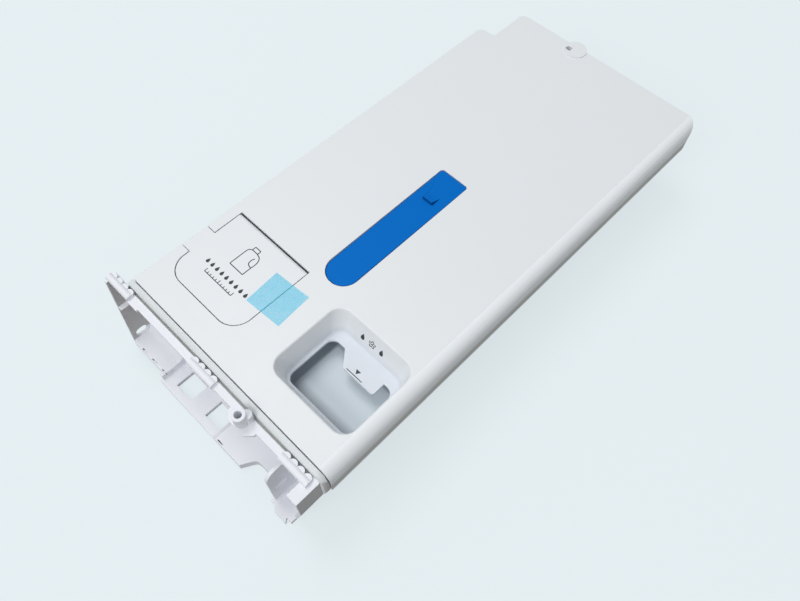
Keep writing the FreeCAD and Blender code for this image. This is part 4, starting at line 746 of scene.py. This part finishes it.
def tape_film():
    """Film over the lid's right edge: a turned grid that steps down from the cover to the lid, rises
    in low waves and lifts at one corner. The top runs one way and the underside back again."""
    across = np.linspace(TAPE_LEFT, TAPE_RIGHT, 61)
    along = np.linspace(-TAPE_HALF, TAPE_HALF, 55)
    across, along = np.meshgrid(across, along, indexing="ij")
    cosine, sine = math.cos(TAPE_TURN), math.sin(TAPE_TURN)
    x = LID_RIGHT + across * cosine - along * sine
    y = TAPE_Y + across * sine + along * cosine
    step = np.clip((x - LID_RIGHT + 0.1) / STEP_WIDTH, 0, 1)
    step = step * step * (3 - 2 * step)
    waves = np.sin(0.9 * across + 0.35 * along) + np.sin(0.7 * along - 0.2 * across)
    corner = np.clip((across - CURL_X) / CURL_WIDTH + (along - CURL_Y) / CURL_LENGTH - 1.0, 0, 1)
    top = TAPE_HEIGHT - TAPE_STEP * (1 - step) + WAVE_RISE * (2 + waves) + CURL_RISE * corner ** 2
    upper, lower = at(x, y, top), at(x, y, top - TAPE_THICK)
    points = np.concatenate((upper, lower[:, ::-1]), axis=1)
    rows, columns = points.shape[:2]
    ends = [list(range(columns)), list(range((rows - 1) * columns, rows * columns))]
    return points.reshape(-1, 3), grid_faces(rows, columns) + ends


def coil(node, wire, turns, axis):
    """Wire carried along a helix in the node's box, with one close turn at each end."""
    low, high = (np.array(corner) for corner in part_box(node))
    length = high[axis] - low[axis]
    middle = (low + high) / 2
    radius = (high[X] - low[X]) / 2 - wire
    run = np.linspace(0, turns, int(turns * COIL_STEPS) + 1)
    rise = np.interp(run, (0, 1, turns - 1, turns), (wire, 3 * wire, length - 3 * wire, length - wire))
    path = np.stack((radius * np.cos(TURN * run), radius * np.sin(TURN * run), rise), -1)
    path = path if axis == Z else path[:, (X, Z, Y)]
    middle[axis] = low[axis]
    turn = np.linspace(0, TURN, 10, endpoint=False)
    up = np.eye(3)[axis]
    return carried(path + middle, wire * np.stack((np.cos(turn), np.sin(turn)), -1), up)


def lip_seal():
    """Seal with three lips: a box-like section, drawn in between its lips, carried round the plug."""
    turn = np.linspace(0, TURN / 4, 12)[None, :] + TURN / 4 * np.arange(4)[:, None]
    x = np.array((SEAL_RIGHT, SEAL_LEFT, SEAL_LEFT, SEAL_RIGHT)) + SEAL_BEND * np.array((-1, 1, 1, -1))
    y = np.array((SEAL_REAR, SEAL_REAR, SEAL_FRONT, SEAL_FRONT)) + SEAL_BEND * np.array((-1, -1, 1, 1))
    x = x[:, None] + SEAL_BEND * np.cos(turn)
    y = y[:, None] + SEAL_BEND * np.sin(turn)
    path = at(x.ravel(), y.ravel(), SEAL_Z)
    across, rise = box_curve(SEAL_WIDTH, SEAL_HEIGHT, power=4.0, count=60)
    height = (rise + SEAL_HEIGHT / 2) / SEAL_HEIGHT
    across = across * (1 - LIP_DEPTH + LIP_DEPTH * np.cos(SEAL_LIPS * TURN * height))
    return carried(path, np.stack((across, rise), -1) * MM, UP, True)


def ring(x, y):
    """Round rubber ring about an outlet: a circle of wire carried round a circle."""
    turn = np.linspace(0, TURN, 72, endpoint=False)
    path = at(x + RING_RADIUS * np.cos(turn), y, OUTLET_Z + RING_RADIUS * np.sin(turn))
    turn = np.linspace(0, TURN, 14, endpoint=False)
    section = RING_WIRE * MM * np.stack((np.cos(turn), np.sin(turn)), -1)
    return carried(path, section, (0.0, 1.0, 0.0), True)


def screw(x, twist):
    """Pan-head screw along y: its rows run from the middle of the head, where a cross is sunk into
    the dome, over the rim, under the head and along the thread, a ridge that climbs once a turn."""
    turn = np.linspace(0, TURN, 56, endpoint=False)[None, :]
    radius = np.linspace(0, HEAD_RADIUS, 30)[:, None]
    dome = HEAD_RISE * np.sqrt(1 - (radius / HEAD_RADIUS) ** 5) + 0 * turn
    side, other = np.abs(radius * np.cos(turn + twist)), np.abs(radius * np.sin(turn + twist))
    slot = np.clip((CROSS_HALF - np.minimum(side, other)) / 0.2, 0, 1)
    cross = slot * np.clip((CROSS_REACH - np.maximum(side, other)) / 0.3, 0, 1)
    face = SCREW_SEAT - dome + CROSS_DEPTH * cross
    head = at(x + radius * np.cos(turn), face, SCREW_Z + radius * np.sin(turn))
    run = np.linspace(0, SHANK_LENGTH, 91)[:, None]
    ridge = np.clip(1 - 1.7 * np.abs(2 * np.mod(run / THREAD_PITCH - turn / TURN, 1) - 1), 0, 1)
    taper = np.sqrt(np.clip((SHANK_LENGTH - run) / POINT_LENGTH, 0, 1))
    radius = (SHANK_RADIUS + THREAD_RISE * ridge) * taper
    shank = at(x + radius * np.cos(turn), SCREW_SEAT + run, SCREW_Z + radius * np.sin(turn))
    points = np.concatenate((head, shank))
    return points.reshape(-1, 3), grid_faces(*points.shape[:2])


tape_mesh = as_mesh("tape_film", *tape_film())
show("tape_film", tape_mesh, (TAPE_FILM,), "lid", "tape_film", "transport_tape")
seal_mesh = as_mesh("lid_lip_seal", *lip_seal())
show("lid_lip_seal", seal_mesh, (SEAL_RUBBER,), "lid", "seal_rubber", "lid_seal")
screw_set = together([screw(x, twist) for x, twist in zip(SCREW_XS, SCREW_TWISTS)])
screw_mesh = as_mesh("bracket_screw_set", *screw_set)
show("bracket_screw_set", screw_mesh, (SCREW_STEEL,), "drawer", "screw_steel", "bracket_screws")

lever_mesh = as_mesh("lever_coil", *coil("lever_spring", wire=0.4 * MM, turns=6.5, axis=Z))
lever_coil = show("lever_coil", lever_mesh, (SPRING_STEEL,), "drawer", "spring_steel", "lever_spring")
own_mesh(lever_coil)
for contents, outlet_x in OUTLET_XS.items():
    node_name = f"{contents}_valve_spring"
    coil_name = f"{contents}_valve_coil"
    valve_mesh = as_mesh(coil_name, *coil(node_name, wire=0.5 * MM, turns=8.0, axis=Y))
    valve_coil = show(coil_name, valve_mesh, (SPRING_STEEL,), "drawer", "spring_steel", node_name)
    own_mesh(valve_coil)
    rings = together([ring(outlet_x, TANK_REAR + reach) for reach in RING_REACHES])
    ring_mesh = as_mesh(f"{contents}_outlet_rings", *rings)
    show(f"{contents}_outlet_rings", ring_mesh, (SEAL_RUBBER,), "drawer", "seal_rubber")


# Stage, light and camera

def floor():
    """Level floor far wider than the view. The camera sees its pale paper with a soft share of the
    object's shadow, and the object gets the bounce of a plain mid tone."""
    corners = [(FLOOR_HALF * x, FLOOR_HALF * y, 0) for x, y in ((-1, -1), (1, -1), (1, 1), (-1, 1))]
    mesh = bpy.data.meshes.new("floor")
    mesh.from_pydata(corners, [], [(0, 1, 2, 3)])
    piece = bpy.data.objects.new("floor", mesh)
    bpy.context.scene.collection.objects.link(piece)
    finish = Finish("floor_paper", Roughness=0.9, Specular_IOR_Level=0.1)
    finish.set("Base Color", finish.mix(finish.seen(), FLOOR_TONE, BACKDROP))
    paper = Socket(finish, finish.shader.outputs[0])
    glow = finish.node("ShaderNodeEmission", {}, {"Color": BACKDROP, "Strength": 1.0})
    share = finish.seen() * FLOOR_GLOW
    seen = finish.node("ShaderNodeMixShader", {}, {0: share, 1: paper, 2: glow})
    finish.feed(finish.tree.nodes["Material Output"].inputs["Surface"], seen)
    mesh.materials.append(finish.material)


def lamp(name, place, size, share):
    """Square lamp aimed at the cover, with the power that gives its share of a white level surface."""
    aim = Vector((0.0, 0.0, COVER_HIGH.z))
    data = bpy.data.lights.new(name, "AREA")
    data.size = size
    way = Vector(place) - aim
    slope = way.normalized().z
    data.energy = share * math.pi ** 2 * way.length_squared / slope
    lamp_object = bpy.data.objects.new(name, data)
    lamp_object.location = place
    lamp_object.rotation_euler = way.to_track_quat("Z", "Y").to_euler()
    bpy.context.scene.collection.objects.link(lamp_object)


def world():
    """Even surround that fills the shadows, and that the camera sees as the pale backdrop."""
    surround = bpy.data.worlds.new("surround")
    surround.use_nodes = True
    shading = Shading(surround.node_tree)
    fill = shading.node("ShaderNodeBackground", {}, {"Color": SURROUND_TINT, "Strength": WORLD_SHARE})
    pale = shading.node("ShaderNodeBackground", {}, {"Color": BACKDROP, "Strength": 1.0})
    direct = shading.node("ShaderNodeLightPath", {}, {}, "Is Camera Ray")
    seen = shading.node("ShaderNodeMixShader", {}, {0: direct, 1: fill, 2: pale})
    shading.feed(surround.node_tree.nodes["World Output"].inputs["Surface"], seen)
    bpy.context.scene.world = surround


def camera():
    """Camera at the photograph's place, turned to its aim and rolled about its own axis."""
    data = bpy.data.cameras.new("camera")
    data.sensor_width = SENSOR
    data.lens = FOCAL_PIXELS / FRAME_WIDTH * SENSOR
    data.clip_start = 0.01
    data.clip_end = 50.0
    view = bpy.data.objects.new("camera", data)
    level = (CAMERA_AIM - CAMERA_PLACE).to_track_quat("-Z", "Y").to_matrix().to_4x4()
    view.matrix_world = Matrix.Translation(CAMERA_PLACE) @ level @ Matrix.Rotation(CAMERA_ROLL, 4, "Z")
    bpy.context.scene.collection.objects.link(view)
    bpy.context.scene.camera = view


floor()
lamp("key_lamp", KEY_PLACE, KEY_SIZE, KEY_SHARE)
lamp("fill_lamp", FILL_PLACE, FILL_SIZE, FILL_SHARE)
world()
camera()
bpy.context.scene.view_settings.view_transform = "Standard"
